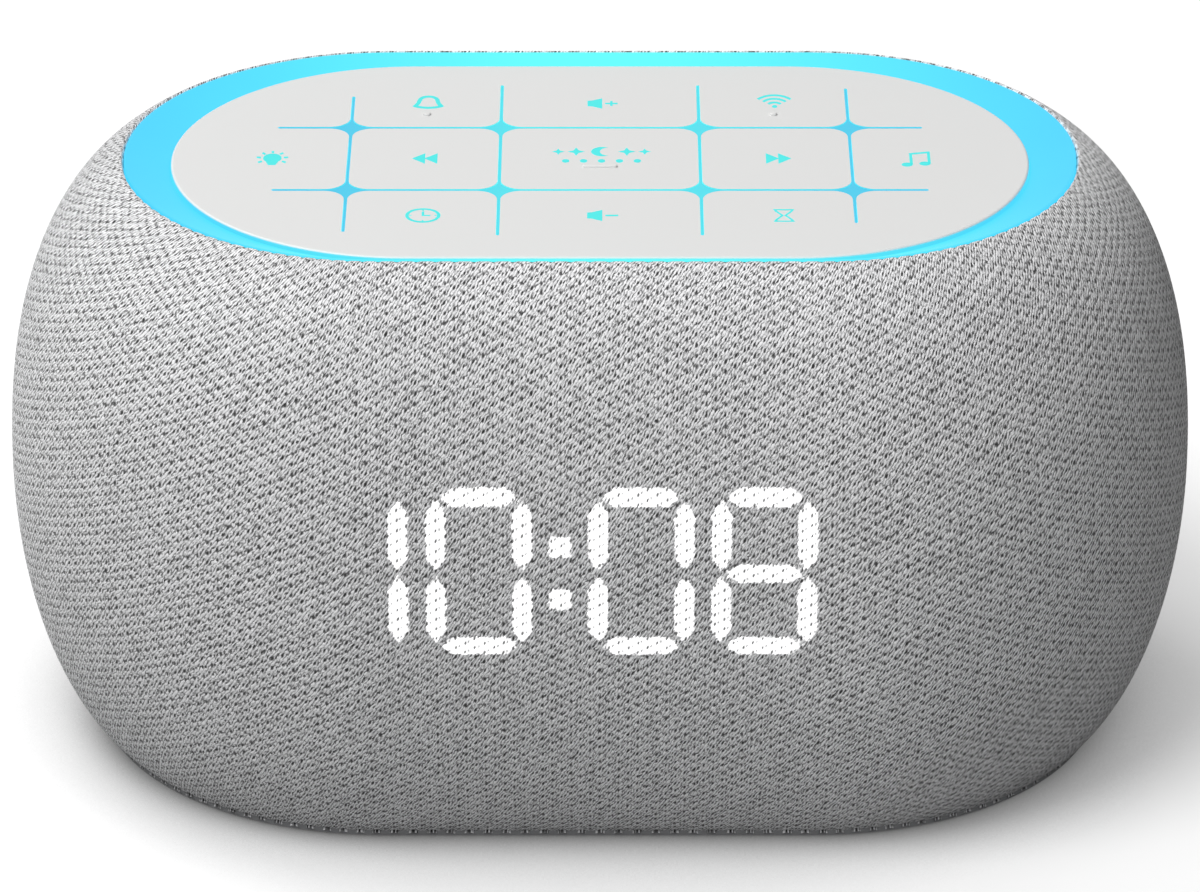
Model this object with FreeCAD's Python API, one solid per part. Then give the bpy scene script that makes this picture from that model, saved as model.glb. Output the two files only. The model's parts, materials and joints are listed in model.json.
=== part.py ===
import FreeCAD, Part
import math
import os

# A bedside clock with sound, in millimetres: Z up, front towards -Y, origin under the middle of the base.
# Every level section of the body is a stadium: two half circles joined by a straight stretch along X.

Vector = FreeCAD.Vector
UP = Vector(0, 0, 1)

# Body form
half_straight = 28.7
belly_radius = 51.4
belly_share = 0.4709
opening_radius = 35.1
body_height = 82.4
base_radius = 39.2
upper_power_share = 2.27
upper_reach_share = 0.959
lower_power_share = 1.97
lower_reach_share = 0.948
outline_points = 13
search_steps = 40
slope_step = 0.05
overrun = 2.0

# Base plate and its feet
foot_proud = 0.3
band_height = 0.7
band_inset = 0.1
base_thickness = 2.6
spigot_clearance = 0.2
foot_radius = 5.0
foot_thickness = 1.5
foot_past = 5.3
foot_setback = 7.0

# Knit sleeve
fabric_thickness = 0.9
fabric_gap = 0.1
tuck_depth = 4.4

# Shells under the knit
shell_wall = 2.2
lip_width = 0.8
tongue_thickness = 1.2
tongue_height = 2.0
tongue_root = 3.0
tongue_clearance = 0.1
shelf_thickness = 2.0
shelf_width = 9.1
pillar_radius = 3.6
pillar_setback = 4.74
pillar_angle = 50.0
pillar_boss_height = 2.1
grille_slots = 9
grille_pitch = 4.4
grille_slot_width = 2.0
grille_margin = 2.5

# Screws
screw_radius = 1.4
screw_play = 0.05
screw_pass_play = 0.3
screw_head_radius = 2.7
screw_head_height = 1.6
screw_head_play = 0.4
base_screw_length = 11.0
frame_screw_length = 4.4
small_screw_radius = 1.0
small_head_radius = 1.9
small_head_height = 1.1
small_screw_length = 4.0

# Control plate, keys and the slits between them
plate_shortfall = 3.4
ring_width = 2.9
plate_sunk = 1.0
plate_thickness = 1.6
plate_edge_fillet = 0.4
upright_slit_width = 0.45
cross_slit_width = 0.6
grid_clearance = 0.1
grid_sunk = 0.12
star_radius = 2.8
inner_slit_x = 13.4
outer_slit_share = 0.2593
cross_slit_y = 10.45
cross_slit_margin = 14.2
inner_slit_margin = 7.25
outer_slit_long_margin = 8.4
outer_slit_short_margin = 11.2
end_key_margin = 7.5
press_share = 0.5
stem_radius = 1.5
dot_radius = 0.55
dot_height = 0.3
dot_rise = 4.55
bar_length = 4.7
bar_width = 0.9
bar_y = -2.7
bump_fillet = 0.2

# Light ring, its frame and the light grid's carrier
ring_play = 0.1
ring_rim_width = 0.3
ring_rim_drop = 0.2
ring_dish_drop = 1.5
ring_ledge_width = 1.6
ring_depth = 4.0
frame_play = 0.3
frame_wall = 1.4
frame_floor = 1.6
frame_boss_height = 1.4
frame_boss_radius = 3.0
frame_boss_x = 18.0
frame_window_x = 10.0
frame_window_y = 5.0
carrier_play = 0.3
carrier_wall = 1.2
sheet_thickness = 1.0
sheet_drop = 1.4
switch_room = 1.7
stem_hole_play = 0.6

# Key board
board_thickness = 1.6
board_play = 0.3
switch_side = 6.0
switch_height = 3.1
plunger_radius = 1.7
plunger_rise = 0.9
plunger_sunk = 0.8
plunger_play = 0.35
plunger_travel_room = 0.6
ring_led_count = 24
led_side = 1.4
led_height = 0.8

# Display
display_side_margin = 2.7
display_top_margin = 2.35
display_lift = 6.25
display_gap = 0.3
display_depth = 11.5
display_play = 0.4
segment_width = 2.7
digit_half_width = 5.6
digit_half_height = 10.5
segment_gap = 0.55
segment_depth = 2.5
segment_play = 0.05
minutes_x = 5.35
digit_gap = 4.8
colon_room = 5.05
one_step = 10.5
colon_half_spacing = 3.9
colon_side = 3.0
display_board_past = 5.6
display_board_shortfall = 1.7
display_post_gap = 1.4
display_post_width = 4.4
display_post_depth = 5.0
display_post_end = 3.0
display_screw_half_spacing = 8.0

# Speaker, facing the rear
speaker_share = 0.4
speaker_middle_share = 0.518
speaker_flange = 1.2
speaker_flange_width = 3.0
speaker_depth = 13.0
speaker_neck = 11.0
speaker_shell = 1.0
speaker_plate = 1.2
speaker_window_radius = 3.4
speaker_windows = 4
magnet_radius = 14.0
magnet_length = 7.5
magnet_gap_inner = 5.5
magnet_gap_outer = 7.2
magnet_gap_depth = 6.0
coil_inner = 6.0
coil_outer = 6.7
coil_sunk = 4.5
surround_width = 3.1
cone_depth = 8.0
cone_wall = 0.6
cap_rise = 2.4
cap_shoulder_share = 0.7
cap_flank_share = 0.8
surround_play = 0.08
surround_wall = 0.5
gasket_thickness = 1.0
baffle_thickness = 2.4
baffle_side_margin = 3.5
baffle_low_gap = 0.4
speaker_ear_past = 2.0
speaker_ear_radius = 3.0
terminal_half_width = 4.0
terminal_thickness = 1.6
terminal_margin = 1.5
terminal_setback = 6.0
lead_radius = 0.6
lead_spacing = 4.0
screw_bite_share = 0.8

# Main board and what it carries
main_half_width = 27.0
main_front = -24.0
main_rear_gap = 0.9
main_height = 8.0
main_tongue_half_width = 6.0
main_tongue_setback = 2.9
standoff_radius = 2.6
standoff_margin = 4.0
standoff_rear_margin = 12.4
cell_radius = 10.0
cell_thickness = 3.2
cell_play = 0.2
cell_gap = 0.35
holder_wall = 1.6
holder_floor = 0.8
holder_lip = 0.4
connector_height = 3.0
connector_depth = 4.0
ribbon_width = 12.0
ribbon_thickness = 0.3
display_ribbon_x = 14.0
display_ribbon_bend = 6.0
bend_room_share = 0.8

# Parts on the main board, placed by shares of its half width and of its depth from the front
voice_chip_side = 10.0
processor_side = 7.0
amplifier_side = 5.0
choke_side = 6.0
chip_height = 1.5
choke_height = 3.0
capacitor_radius = 3.1
capacitor_height = 7.0
voice_chip_shares = (0.48, 0.48)
processor_shares = (0.43, 0.25)
amplifier_shares = (-0.72, 0.16)
choke_shares = (-0.41, 0.17)
cell_side_share = -0.33
capacitor_shares = ((0.83, 0.46), (0.83, 0.58))

# Power inlet in the rear wall
inlet_width = 8.9
inlet_height = 3.3
inlet_wall = 0.35
inlet_depth = 7.4
inlet_lift = 0.2
inlet_play = 0.15
inlet_tongue_width = 6.4
inlet_tongue_height = 0.7
bezel_half_width = 8.4
bezel_below = 4.85
bezel_above = 3.55
bezel_proud = 0.4
bezel_front_wall = 1.8
bezel_wall = 1.3
bezel_play = 0.15

# Levels and radii that follow from the values above
belly_height = belly_share * body_height
fabric_low = foot_proud + band_height
base_top = foot_proud + base_thickness
shell_inset = fabric_thickness + fabric_gap
lip_radius = opening_radius + fabric_thickness + fabric_gap
plate_half_straight = half_straight - plate_shortfall
plate_radius = opening_radius - ring_width
plate_end = plate_half_straight + plate_radius
plate_height = body_height - plate_sunk
plate_bottom = plate_height - plate_thickness
sheet_top = plate_bottom - sheet_drop
sheet_bottom = sheet_top - sheet_thickness
ring_top = body_height - ring_rim_drop
ring_bottom = ring_top - ring_depth
ring_radius = opening_radius - ring_play
switch_top = sheet_bottom - switch_room
plunger_top = switch_top + plunger_rise
board_top = switch_top - switch_height
board_bottom = board_top - board_thickness
frame_bottom = board_bottom - frame_boss_height - frame_floor
frame_radius = opening_radius - frame_play
shelf_height = frame_bottom - shelf_thickness
shelf_radius = opening_radius - shelf_width
carrier_radius = plate_radius - ring_ledge_width - carrier_play
outer_slit_x = plate_half_straight + outer_slit_share * plate_radius
cross_slit_reach = plate_end - cross_slit_margin
inner_slit_reach = plate_radius - inner_slit_margin
outer_slit_long_reach = plate_radius - outer_slit_long_margin
outer_slit_short_reach = plate_radius - outer_slit_short_margin
end_key_reach = plate_end - end_key_margin
main_top = main_height + board_thickness
speaker_room = shelf_height - main_top
speaker_middle = main_top + speaker_middle_share * speaker_room
speaker_radius = speaker_share * speaker_room
speaker_throat = speaker_radius - speaker_flange_width
speaker_ear_reach = speaker_radius + speaker_ear_past
terminal_reach = speaker_radius - terminal_margin
cone_outer = speaker_throat - surround_width
standoff_x = main_half_width - standoff_margin
standoff_front = main_front + standoff_margin
display_ribbon_y = main_front + connector_depth
inlet_middle = main_top + inlet_lift + inlet_height / 2
bezel_low = inlet_middle - bezel_below
bezel_top = inlet_middle + bezel_above
boss_top = base_top + pillar_boss_height
digit_pitch = 2 * digit_half_width + digit_gap
hour_x = minutes_x - digit_pitch - colon_room
colon_x = (minutes_x + hour_x) / 2
digit_places = (hour_x, minutes_x, minutes_x + digit_pitch)
one_place = hour_x - one_step
display_middle = belly_height + display_lift
display_half_width = minutes_x + digit_pitch + digit_half_width + segment_width / 2 + display_side_margin
display_half_height = digit_half_height + segment_width / 2 + display_top_margin
display_board_half_width = display_half_width + display_board_past
display_board_half_height = display_half_height - display_board_shortfall
display_post_inner = display_half_width + display_post_gap
display_screw_x = display_post_inner + display_post_width / 2


# Form of the body

def profile_radius(height):
    """Outer radius of the knit at a height, measured from an end's centre."""
    if height >= belly_height:
        span = body_height - belly_height
        drop = belly_radius - opening_radius
        reach, power = upper_reach_share, upper_power_share
    else:
        span = belly_height
        drop = belly_radius - base_radius
        reach, power = lower_reach_share, lower_power_share
    along = min(reach * abs(height - belly_height) / span, 1)
    full = 1 - (1 - reach ** power) ** (1 / power)
    return belly_radius - drop * (1 - (1 - along ** power) ** (1 / power)) / full


def inset_radius(height, depth):
    """Radius of the face that lies a depth inside the knit's outer face."""
    rise = profile_radius(height + slope_step) - profile_radius(height - slope_step)
    return profile_radius(height) - depth * math.hypot(1, rise / (2 * slope_step))


def height_where(depth, radius):
    """Height above the belly where the inset face has closed in to a radius."""
    low, high = belly_height, body_height
    for _ in range(search_steps):
        middle = (low + high) / 2
        if inset_radius(middle, depth) > radius:
            low = middle
        else:
            high = middle
    return low


def outline(depth, low, high):
    """Smooth edge in the XZ plane that follows the inset face between two heights."""
    points = []
    for step in range(outline_points):
        share = (1 - math.cos(math.pi * step / (outline_points - 1))) / 2
        height = low + (high - low) * share
        points.append(Vector(inset_radius(height, depth), 0, height))
    curve = Part.BSplineCurve()
    curve.interpolate(points)
    return curve.toShape(), points[0], points[-1]


# Building blocks

def fuse(shapes):
    """One shape from several, with the seams between flush faces removed."""
    joined = shapes[0]
    if len(shapes) > 1:
        joined = shapes[0].fuse(shapes[1:])
    return joined.removeSplitter()


def block(x_low, x_high, y_low, y_high, z_low, z_high):
    return Part.makeBox(x_high - x_low, y_high - y_low, z_high - z_low, Vector(x_low, y_low, z_low))


def post(x, y, low, high, radius):
    return Part.makeCylinder(radius, high - low, Vector(x, y, low))


def rod(x, z, y_low, y_high, radius):
    return Part.makeCylinder(radius, y_high - y_low, Vector(x, y_low, z), Vector(0, 1, 0))


def stadium_wire(straight, radius, height):
    low_left = Vector(-straight, -radius, height)
    low_right = Vector(straight, -radius, height)
    top_right = Vector(straight, radius, height)
    top_left = Vector(-straight, radius, height)
    right_tip = Vector(straight + radius, 0, height)
    left_tip = Vector(-straight - radius, 0, height)
    edges = [
        Part.LineSegment(low_left, low_right).toShape(),
        Part.Arc(low_right, right_tip, top_right).toShape(),
        Part.LineSegment(top_right, top_left).toShape(),
        Part.Arc(top_left, left_tip, low_left).toShape(),
    ]
    return Part.Wire(edges)


def stadium(straight, radius, low, high):
    return Part.Face(stadium_wire(straight, radius, low)).extrude(Vector(0, 0, high - low))


def stadium_wall(straight, outer, inner, low, high):
    return stadium(straight, outer, low, high).cut(stadium(straight, inner, low - overrun, high + overrun))


def carried_round(section):
    """The solid that a section in the XZ plane makes when it is carried round the stadium."""
    pieces = []
    for side in (1, -1):
        turned = section.copy()
        turned.rotate(Vector(0, 0, 0), UP, -90 * side)
        straight = turned.copy()
        straight.translate(Vector(-half_straight, 0, 0))
        pieces.append(straight.extrude(Vector(2 * half_straight, 0, 0)))
        end = turned.revolve(Vector(0, 0, 0), UP, 180)
        end.translate(Vector(side * half_straight, 0, 0))
        pieces.append(end)
    return fuse(pieces)


def closed_face(edges):
    return Part.Face(Part.Wire(Part.__sortEdges__(edges)))


def straight_edges(points):
    return [Part.LineSegment(a, b).toShape() for a, b in zip(points, points[1:])]


def polygon(points):
    return Part.Face(Part.makePolygon(list(points) + [points[0]]))


def round_y(profile, z_middle):
    """Turn a profile of (radius, y) points about the axis along Y at a height."""
    face = polygon([Vector(radius, y, z_middle) for radius, y in profile])
    return face.revolve(Vector(0, 0, z_middle), Vector(0, 1, 0), 360)


def around_stadium(count, straight, radius):
    """Evenly spaced places along a stadium."""
    length = 4 * straight + 2 * math.pi * radius
    places = []
    for step in range(count):
        along = length * (step + 0.5) / count
        if along < 2 * straight:
            places.append((along - straight, -radius))
            continue
        along -= 2 * straight
        if along < math.pi * radius:
            turn = along / radius - math.pi / 2
            places.append((straight + radius * math.cos(turn), radius * math.sin(turn)))
            continue
        along -= math.pi * radius
        if along < 2 * straight:
            places.append((straight - along, radius))
            continue
        turn = (along - 2 * straight) / radius + math.pi / 2
        places.append((-straight + radius * math.cos(turn), radius * math.sin(turn)))
    return places


def corners(x, y):
    return [(x, y), (-x, y), (-x, -y), (x, -y)]


def standoff_places():
    return [(x, y) for y in (standoff_front, standoff_rear) for x in (-standoff_x, standoff_x)]


def board_place(shares):
    """A place on the main board from its shares."""
    return shares[0] * main_half_width, main_front + shares[1] * (main_rear - main_front)


pillar_reach = inset_radius(fabric_low, shell_inset + shell_wall) - pillar_setback
pillar_x = half_straight + pillar_reach * math.cos(math.radians(pillar_angle))
pillar_y = pillar_reach * math.sin(math.radians(pillar_angle))
pillar_places = corners(pillar_x, pillar_y)
display_top = display_middle + display_half_height
display_low = display_middle - display_half_height
display_past = max(display_half_width - half_straight, 0)
display_wall = math.sqrt(inset_radius(display_top, fabric_thickness) ** 2 - display_past ** 2)
display_face = display_gap - display_wall
display_back = display_face + display_depth
baffle_rear = inset_radius(shelf_height + shelf_thickness / 2, shell_inset + shell_wall)
baffle_front = baffle_rear - baffle_thickness
speaker_face = baffle_front - gasket_thickness
speaker_back = speaker_face - speaker_depth
magnet_front = speaker_back - magnet_length
inlet_mouth = profile_radius(inlet_middle)
main_rear = inset_radius(main_height, shell_inset + shell_wall) - main_rear_gap
main_tongue_end = inlet_mouth - main_tongue_setback
standoff_rear = main_rear - standoff_rear_margin
foot_x = half_straight + foot_past
foot_y = pillar_reach - foot_setback


# Base

def make_base_plate():
    band_radius = profile_radius(fabric_low) - band_inset
    spigot_radius = inset_radius(fabric_low, shell_inset + shell_wall) - spigot_clearance
    bosses = [post(x, y, base_top - board_thickness, boss_top, screw_head_radius + shell_wall)
              for x, y in pillar_places]
    bosses += [post(x, y, base_top - board_thickness, main_height, standoff_radius)
               for x, y in standoff_places()]
    plate = fuse([stadium(half_straight, band_radius, foot_proud, fabric_low),
                  stadium(half_straight, spigot_radius, foot_proud, base_top)] + bosses)
    holes = []
    for x, y in pillar_places:
        holes.append(post(x, y, -overrun, boss_top + overrun, screw_radius + screw_pass_play))
        holes.append(post(x, y, -overrun, boss_top - shell_wall, screw_head_radius + screw_head_play))
    for x, y in corners(foot_x, foot_y):
        holes.append(post(x, y, -overrun, foot_thickness, foot_radius))
    for x, y in standoff_places():
        holes.append(post(x, y, main_height - small_screw_length, main_height + overrun,
                          small_screw_radius + screw_play))
    return plate.cut(holes)


def make_foot_pads():
    return [post(x, y, 0, foot_thickness, foot_radius) for x, y in corners(foot_x, foot_y)]


def screw_up(x, y, seat, radius, head_radius, head_height, length):
    """A screw that enters upwards, with its head below the seat."""
    head = post(x, y, seat - head_height, seat, head_radius)
    return fuse([head, post(x, y, seat - head_height / 2, seat + length, radius)])


def make_base_screws():
    seat = boss_top - shell_wall
    return [screw_up(x, y, seat, screw_radius, screw_head_radius, screw_head_height, base_screw_length)
            for x, y in pillar_places]


# Knit sleeve and the shells under it

def inlet_cut(play):
    return block(-bezel_half_width - play, bezel_half_width + play, belly_radius / 2,
                 belly_radius + overrun, bezel_low - play, bezel_top + play)


def make_fabric_sleeve():
    lip = height_where(fabric_thickness, opening_radius + fabric_thickness)
    outer, outer_low, outer_top = outline(0, fabric_low, body_height)
    inner, inner_low, inner_top = outline(fabric_thickness, fabric_low, lip)
    tuck_low = body_height - tuck_depth
    tuck = [outer_top, Vector(opening_radius, 0, tuck_low),
            Vector(opening_radius + fabric_thickness, 0, tuck_low), inner_top]
    section = closed_face([outer, inner] + straight_edges(tuck) + straight_edges([inner_low, outer_low]))
    return carried_round(section).cut(inlet_cut(bezel_play))


def display_cut():
    return block(-display_half_width - display_play, display_half_width + display_play,
                 -belly_radius - overrun, -belly_radius / 2,
                 display_low - display_play, display_top + display_play)


def grille_cuts():
    cuts = []
    half = speaker_throat - grille_margin
    for slot in range(grille_slots):
        x = (slot - (grille_slots - 1) / 2) * grille_pitch
        cuts.append(block(x - grille_slot_width / 2, x + grille_slot_width / 2,
                          baffle_rear, belly_radius + overrun, speaker_middle - half, speaker_middle + half))
    return cuts


def make_upper_wall():
    top = height_where(shell_inset, lip_radius + lip_width)
    inner_top = height_where(shell_inset + shell_wall, lip_radius)
    outer, outer_low, outer_end = outline(shell_inset, belly_height, top)
    inner, inner_low, inner_end = outline(shell_inset + shell_wall, belly_height, inner_top)
    lip = [outer_end, Vector(lip_radius, 0, top), inner_end]
    return carried_round(closed_face([outer, inner] + straight_edges(lip)
                                     + straight_edges([inner_low, outer_low])))


def make_shelf():
    rim = inset_radius(shelf_height + shelf_thickness, shell_inset + shell_wall / 2)
    return stadium_wall(half_straight, rim, shelf_radius, shelf_height, shelf_height + shelf_thickness)


def make_speaker_baffle():
    reach = shelf_height + shelf_thickness / 2
    half = speaker_radius + baffle_side_margin
    low = bezel_top + baffle_low_gap
    plate = block(-half, half, baffle_front, baffle_rear, low, reach)
    hole = rod(0, speaker_middle, baffle_front - overrun, baffle_rear + overrun, speaker_throat)
    return plate.cut(hole)


def make_display_posts():
    half = display_post_width / 2
    low = display_middle - display_screw_half_spacing - display_post_end
    return [block(x - half, x + half, display_back - display_post_depth, display_back, low,
                  shelf_height + shelf_thickness / 2) for x in (-display_screw_x, display_screw_x)]


def make_upper_shell():
    pillars = [post(x, y, boss_top, shelf_height + shelf_thickness / 2, pillar_radius)
               for x, y in pillar_places]
    shell = fuse([make_upper_wall(), make_shelf(), make_speaker_baffle()] + make_display_posts() + pillars)
    holes = [display_cut()] + grille_cuts()
    for x, y in pillar_places:
        holes.append(post(x, y, boss_top - overrun, boss_top + base_screw_length, screw_radius + screw_play))
    for x, y in frame_screw_places():
        holes.append(post(x, y, shelf_height - overrun, frame_bottom + overrun,
                          screw_radius + screw_pass_play))
    for x, z in display_screw_places():
        holes.append(rod(x, z, display_back - small_screw_length, display_back + overrun,
                         small_screw_radius + screw_play))
    for x, z in speaker_screw_places():
        holes.append(rod(x, z, baffle_front - overrun, baffle_rear, small_screw_radius + screw_play))
    return shell.cut(holes)


def make_lower_shell():
    outer, outer_low, outer_top = outline(shell_inset, fabric_low, belly_height)
    inner, inner_low, inner_top = outline(shell_inset + shell_wall, fabric_low, belly_height)
    section = closed_face([outer, inner] + straight_edges([inner_low, outer_low])
                          + straight_edges([inner_top, outer_top]))
    wall_radius = inset_radius(belly_height, shell_inset + shell_wall)
    tongue_outer = wall_radius - tongue_clearance
    tongue_inner = tongue_outer - tongue_thickness
    root = stadium_wall(half_straight, wall_radius + shell_wall / 2, tongue_inner,
                        belly_height - tongue_root, belly_height)
    tongue = stadium_wall(half_straight, tongue_outer, tongue_inner,
                          belly_height - tongue_root, belly_height + tongue_height)
    shell = fuse([carried_round(section), root, tongue])
    return shell.cut([display_cut(), inlet_cut(bezel_play)] + grille_cuts())


# Keys and the slits between them

def vertical_slits():
    """Each upright slit as x, its low end and its high end."""
    return [
        (-outer_slit_x, -outer_slit_long_reach, outer_slit_short_reach),
        (-inner_slit_x, -inner_slit_reach, inner_slit_reach),
        (inner_slit_x, -inner_slit_reach, inner_slit_reach),
        (outer_slit_x, -outer_slit_short_reach, outer_slit_long_reach),
    ]


def slit_crossings():
    return [(x, y) for x in (-outer_slit_x, -inner_slit_x, inner_slit_x, outer_slit_x)
            for y in (-cross_slit_y, cross_slit_y)]


def bar(x_a, y_a, x_b, y_b, width, low, high):
    """A round-ended bar between two places along X or along Y."""
    half = width / 2
    body = block(min(x_a, x_b) - (half if x_a == x_b else 0), max(x_a, x_b) + (half if x_a == x_b else 0),
                 min(y_a, y_b) - (half if y_a == y_b else 0), max(y_a, y_b) + (half if y_a == y_b else 0),
                 low, high)
    return fuse([body, post(x_a, y_a, low, high, half), post(x_b, y_b, low, high, half)])


def star(x, y, play, low, high):
    """The four-pointed patch where two slits cross between rounded key corners."""
    reach_x = upright_slit_width / 2 + star_radius
    reach_y = cross_slit_width / 2 + star_radius
    patch = block(x - reach_x, x + reach_x, y - reach_y, y + reach_y, low, high)
    rounds = [post(x + a, y + b, low - overrun, high + overrun, star_radius + play)
              for a, b in corners(reach_x, reach_y)]
    return patch.cut(rounds)


def slit_network(play, low, high):
    """All slits as one solid, narrower by the play on each side."""
    upright_width, cross_width = upright_slit_width - 2 * play, cross_slit_width - 2 * play
    parts = [bar(x, y_low, x, y_high, upright_width, low, high) for x, y_low, y_high in vertical_slits()]
    for y in (-cross_slit_y, cross_slit_y):
        parts.append(bar(-cross_slit_reach, y, cross_slit_reach, y, cross_width, low, high))
    parts += [star(x, y, play, low, high) for x, y in slit_crossings()]
    return fuse(parts)


def key_corners():
    """Corner points of each key in plan; the first two are on its hinge line, if it has one."""
    inner, outer, cross = inner_slit_x, outer_slit_x, cross_slit_y
    long_end, short_end, end = outer_slit_long_reach, outer_slit_short_reach, inner_slit_reach
    return {
        "alarm": [(-outer, short_end), (-inner, end), (-inner, cross), (-outer, cross)],
        "volume_up": [(-inner, end), (inner, end), (inner, cross), (-inner, cross)],
        "wireless": [(inner, end), (outer, long_end), (outer, cross), (inner, cross)],
        "lamp": [(-end_key_reach, -cross), (-end_key_reach, cross), (-outer, cross), (-outer, -cross)],
        "sound": [(end_key_reach, cross), (end_key_reach, -cross), (outer, -cross), (outer, cross)],
        "clock": [(-inner, -end), (-outer, -long_end), (-outer, -cross), (-inner, -cross)],
        "volume_down": [(inner, -end), (-inner, -end), (-inner, -cross), (inner, -cross)],
        "timer": [(outer, -short_end), (inner, -end), (inner, -cross), (outer, -cross)],
        "previous": [(-outer, cross), (-inner, cross), (-inner, -cross), (-outer, -cross)],
        "snooze": [(-inner, cross), (inner, cross), (inner, -cross), (-inner, -cross)],
        "next": [(inner, cross), (outer, cross), (outer, -cross), (inner, -cross)],
    }


def press_place(name):
    """Where a key meets its switch: a share of the way in from the side that its first two corners end."""
    (x_a, y_a), (x_b, y_b), (x_c, y_c), (x_d, y_d) = key_corners()[name]
    near_x, near_y = (x_a + x_b) / 2, (y_a + y_b) / 2
    far_x, far_y = (x_c + x_d) / 2, (y_c + y_d) / 2
    return near_x + (far_x - near_x) * press_share, near_y + (far_y - near_y) * press_share


def key_block(name, low, high):
    """A key's slab: its corners at slit crossings are round and its slit sides stand back by half a slit."""
    points = [Vector(x, y, low) for x, y in key_corners()[name]]
    slab = polygon(points).extrude(Vector(0, 0, high - low))
    slab = slab.cut(slit_network(0, low - overrun, high + overrun))
    return max(slab.Solids, key=lambda solid: solid.Volume)


def bump(shape):
    """Round the top edge of a raised mark."""
    top = shape.BoundBox.ZMax
    edges = [edge for edge in shape.Edges if edge.BoundBox.ZMin > top - bump_fillet / 2]
    return shape.makeFillet(bump_fillet, edges)


def make_key(name):
    x, y = press_place(name)
    parts = [key_block(name, plate_bottom, plate_height),
             post(x, y, plunger_top, plate_bottom + plate_thickness / 2, stem_radius)]
    if name in ("alarm", "wireless"):
        dot_x = math.copysign((inner_slit_x + outer_slit_x) / 2, x)
        parts.append(bump(post(dot_x, cross_slit_y + dot_rise, plate_height - dot_height,
                               plate_height + dot_height, dot_radius)))
    if name == "snooze":
        half = (bar_length - bar_width) / 2
        parts.append(bump(bar(-half, bar_y, half, bar_y, bar_width, plate_height - dot_height,
                              plate_height + dot_height)))
    return fuse(parts)


def make_plunger(name):
    x, y = press_place(name)
    return post(x, y, switch_top - plunger_sunk, plunger_top, plunger_radius)


def make_control_plate():
    plate = stadium(plate_half_straight, plate_radius, plate_bottom, plate_height)
    rim = [edge for edge in plate.Edges if edge.BoundBox.ZMin > plate_height - plate_edge_fillet / 2]
    plate = plate.makeFillet(plate_edge_fillet, rim)
    cuts = [slit_network(0, plate_bottom - overrun, plate_height + overrun)]
    for places in key_corners().values():
        points = [Vector(x, y, plate_bottom - overrun) for x, y in places]
        cuts.append(polygon(points).extrude(Vector(0, 0, plate_thickness + 2 * overrun)))
    rim_plate = plate.cut(cuts)
    return max(rim_plate.Solids, key=lambda solid: solid.Volume)


# Light ring, light grid and what carries them

def make_light_ring():
    pocket_radius = plate_radius + ring_play
    ledge_radius = plate_radius - ring_ledge_width
    ring = stadium(half_straight, ring_radius, ring_bottom, ring_top)
    bore = stadium(plate_half_straight, ledge_radius, ring_bottom - overrun, ring_top + overrun)
    pocket = stadium(plate_half_straight, pocket_radius, plate_bottom, ring_top + overrun)
    rim = stadium_wire(half_straight, ring_radius - ring_rim_width, ring_top)
    dish = Part.makeLoft([stadium_wire(plate_half_straight, pocket_radius, ring_top - ring_dish_drop), rim],
                         True, True)
    return ring.cut([bore, pocket, dish])


def make_top_frame():
    inner = frame_radius - frame_wall
    frame = stadium(half_straight, frame_radius, frame_bottom, ring_bottom)
    frame = frame.cut(stadium(half_straight, inner, frame_bottom + frame_floor, ring_bottom + overrun))
    bosses = [post(x, y, frame_bottom, board_bottom, frame_boss_radius) for x, y in frame_screw_places()]
    frame = fuse([frame] + bosses)
    holes = [block(-frame_window_x, frame_window_x, -frame_window_y, frame_window_y,
                   frame_bottom - overrun, frame_bottom + frame_floor + overrun)]
    for x, y in frame_screw_places():
        holes.append(post(x, y, frame_bottom - overrun, board_bottom, screw_radius + screw_play))
    return frame.cut(holes)


def frame_screw_places():
    reach = (shelf_radius + frame_radius - frame_wall) / 2
    return corners(frame_boss_x, reach)


def make_frame_screws():
    length = board_bottom - shelf_height - screw_radius / 2
    return [screw_up(x, y, shelf_height, screw_radius, screw_head_radius, screw_head_height,
                     min(frame_screw_length, length)) for x, y in frame_screw_places()]


def make_grid_frame():
    wall = stadium_wall(plate_half_straight, carrier_radius, carrier_radius - carrier_wall,
                        board_top, sheet_bottom)
    reach = carrier_radius - carrier_wall / 2
    rib_x = (outer_slit_x + press_place("sound")[0] - switch_side / 2) / 2
    half = math.sqrt(reach ** 2 - (rib_x - plate_half_straight) ** 2)
    ribs = [block(x - carrier_wall / 2, x + carrier_wall / 2, -half, half, board_top, sheet_bottom)
            for x in (-rib_x, rib_x)]
    return fuse([wall] + ribs)


def make_key_light_grid():
    sheet = stadium(plate_half_straight, carrier_radius, sheet_bottom, sheet_top)
    ribs = slit_network(grid_clearance, sheet_top - sheet_thickness / 2, plate_height - grid_sunk)
    holes = []
    for name in key_corners():
        x, y = press_place(name)
        holes.append(post(x, y, sheet_bottom - overrun, sheet_top + overrun, stem_radius + stem_hole_play))
    return fuse([sheet.cut(holes), ribs])


# Key board

def make_top_board():
    return stadium(half_straight, frame_radius - frame_wall - board_play, board_bottom, board_top)


def make_tact_switches():
    bodies = []
    half = switch_side / 2
    for name in key_corners():
        x, y = press_place(name)
        body = block(x - half, x + half, y - half, y + half, board_top, switch_top)
        well = post(x, y, switch_top - plunger_sunk - plunger_travel_room, switch_top + overrun,
                    plunger_radius + plunger_play)
        bodies.append(body.cut(well))
    return bodies


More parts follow.
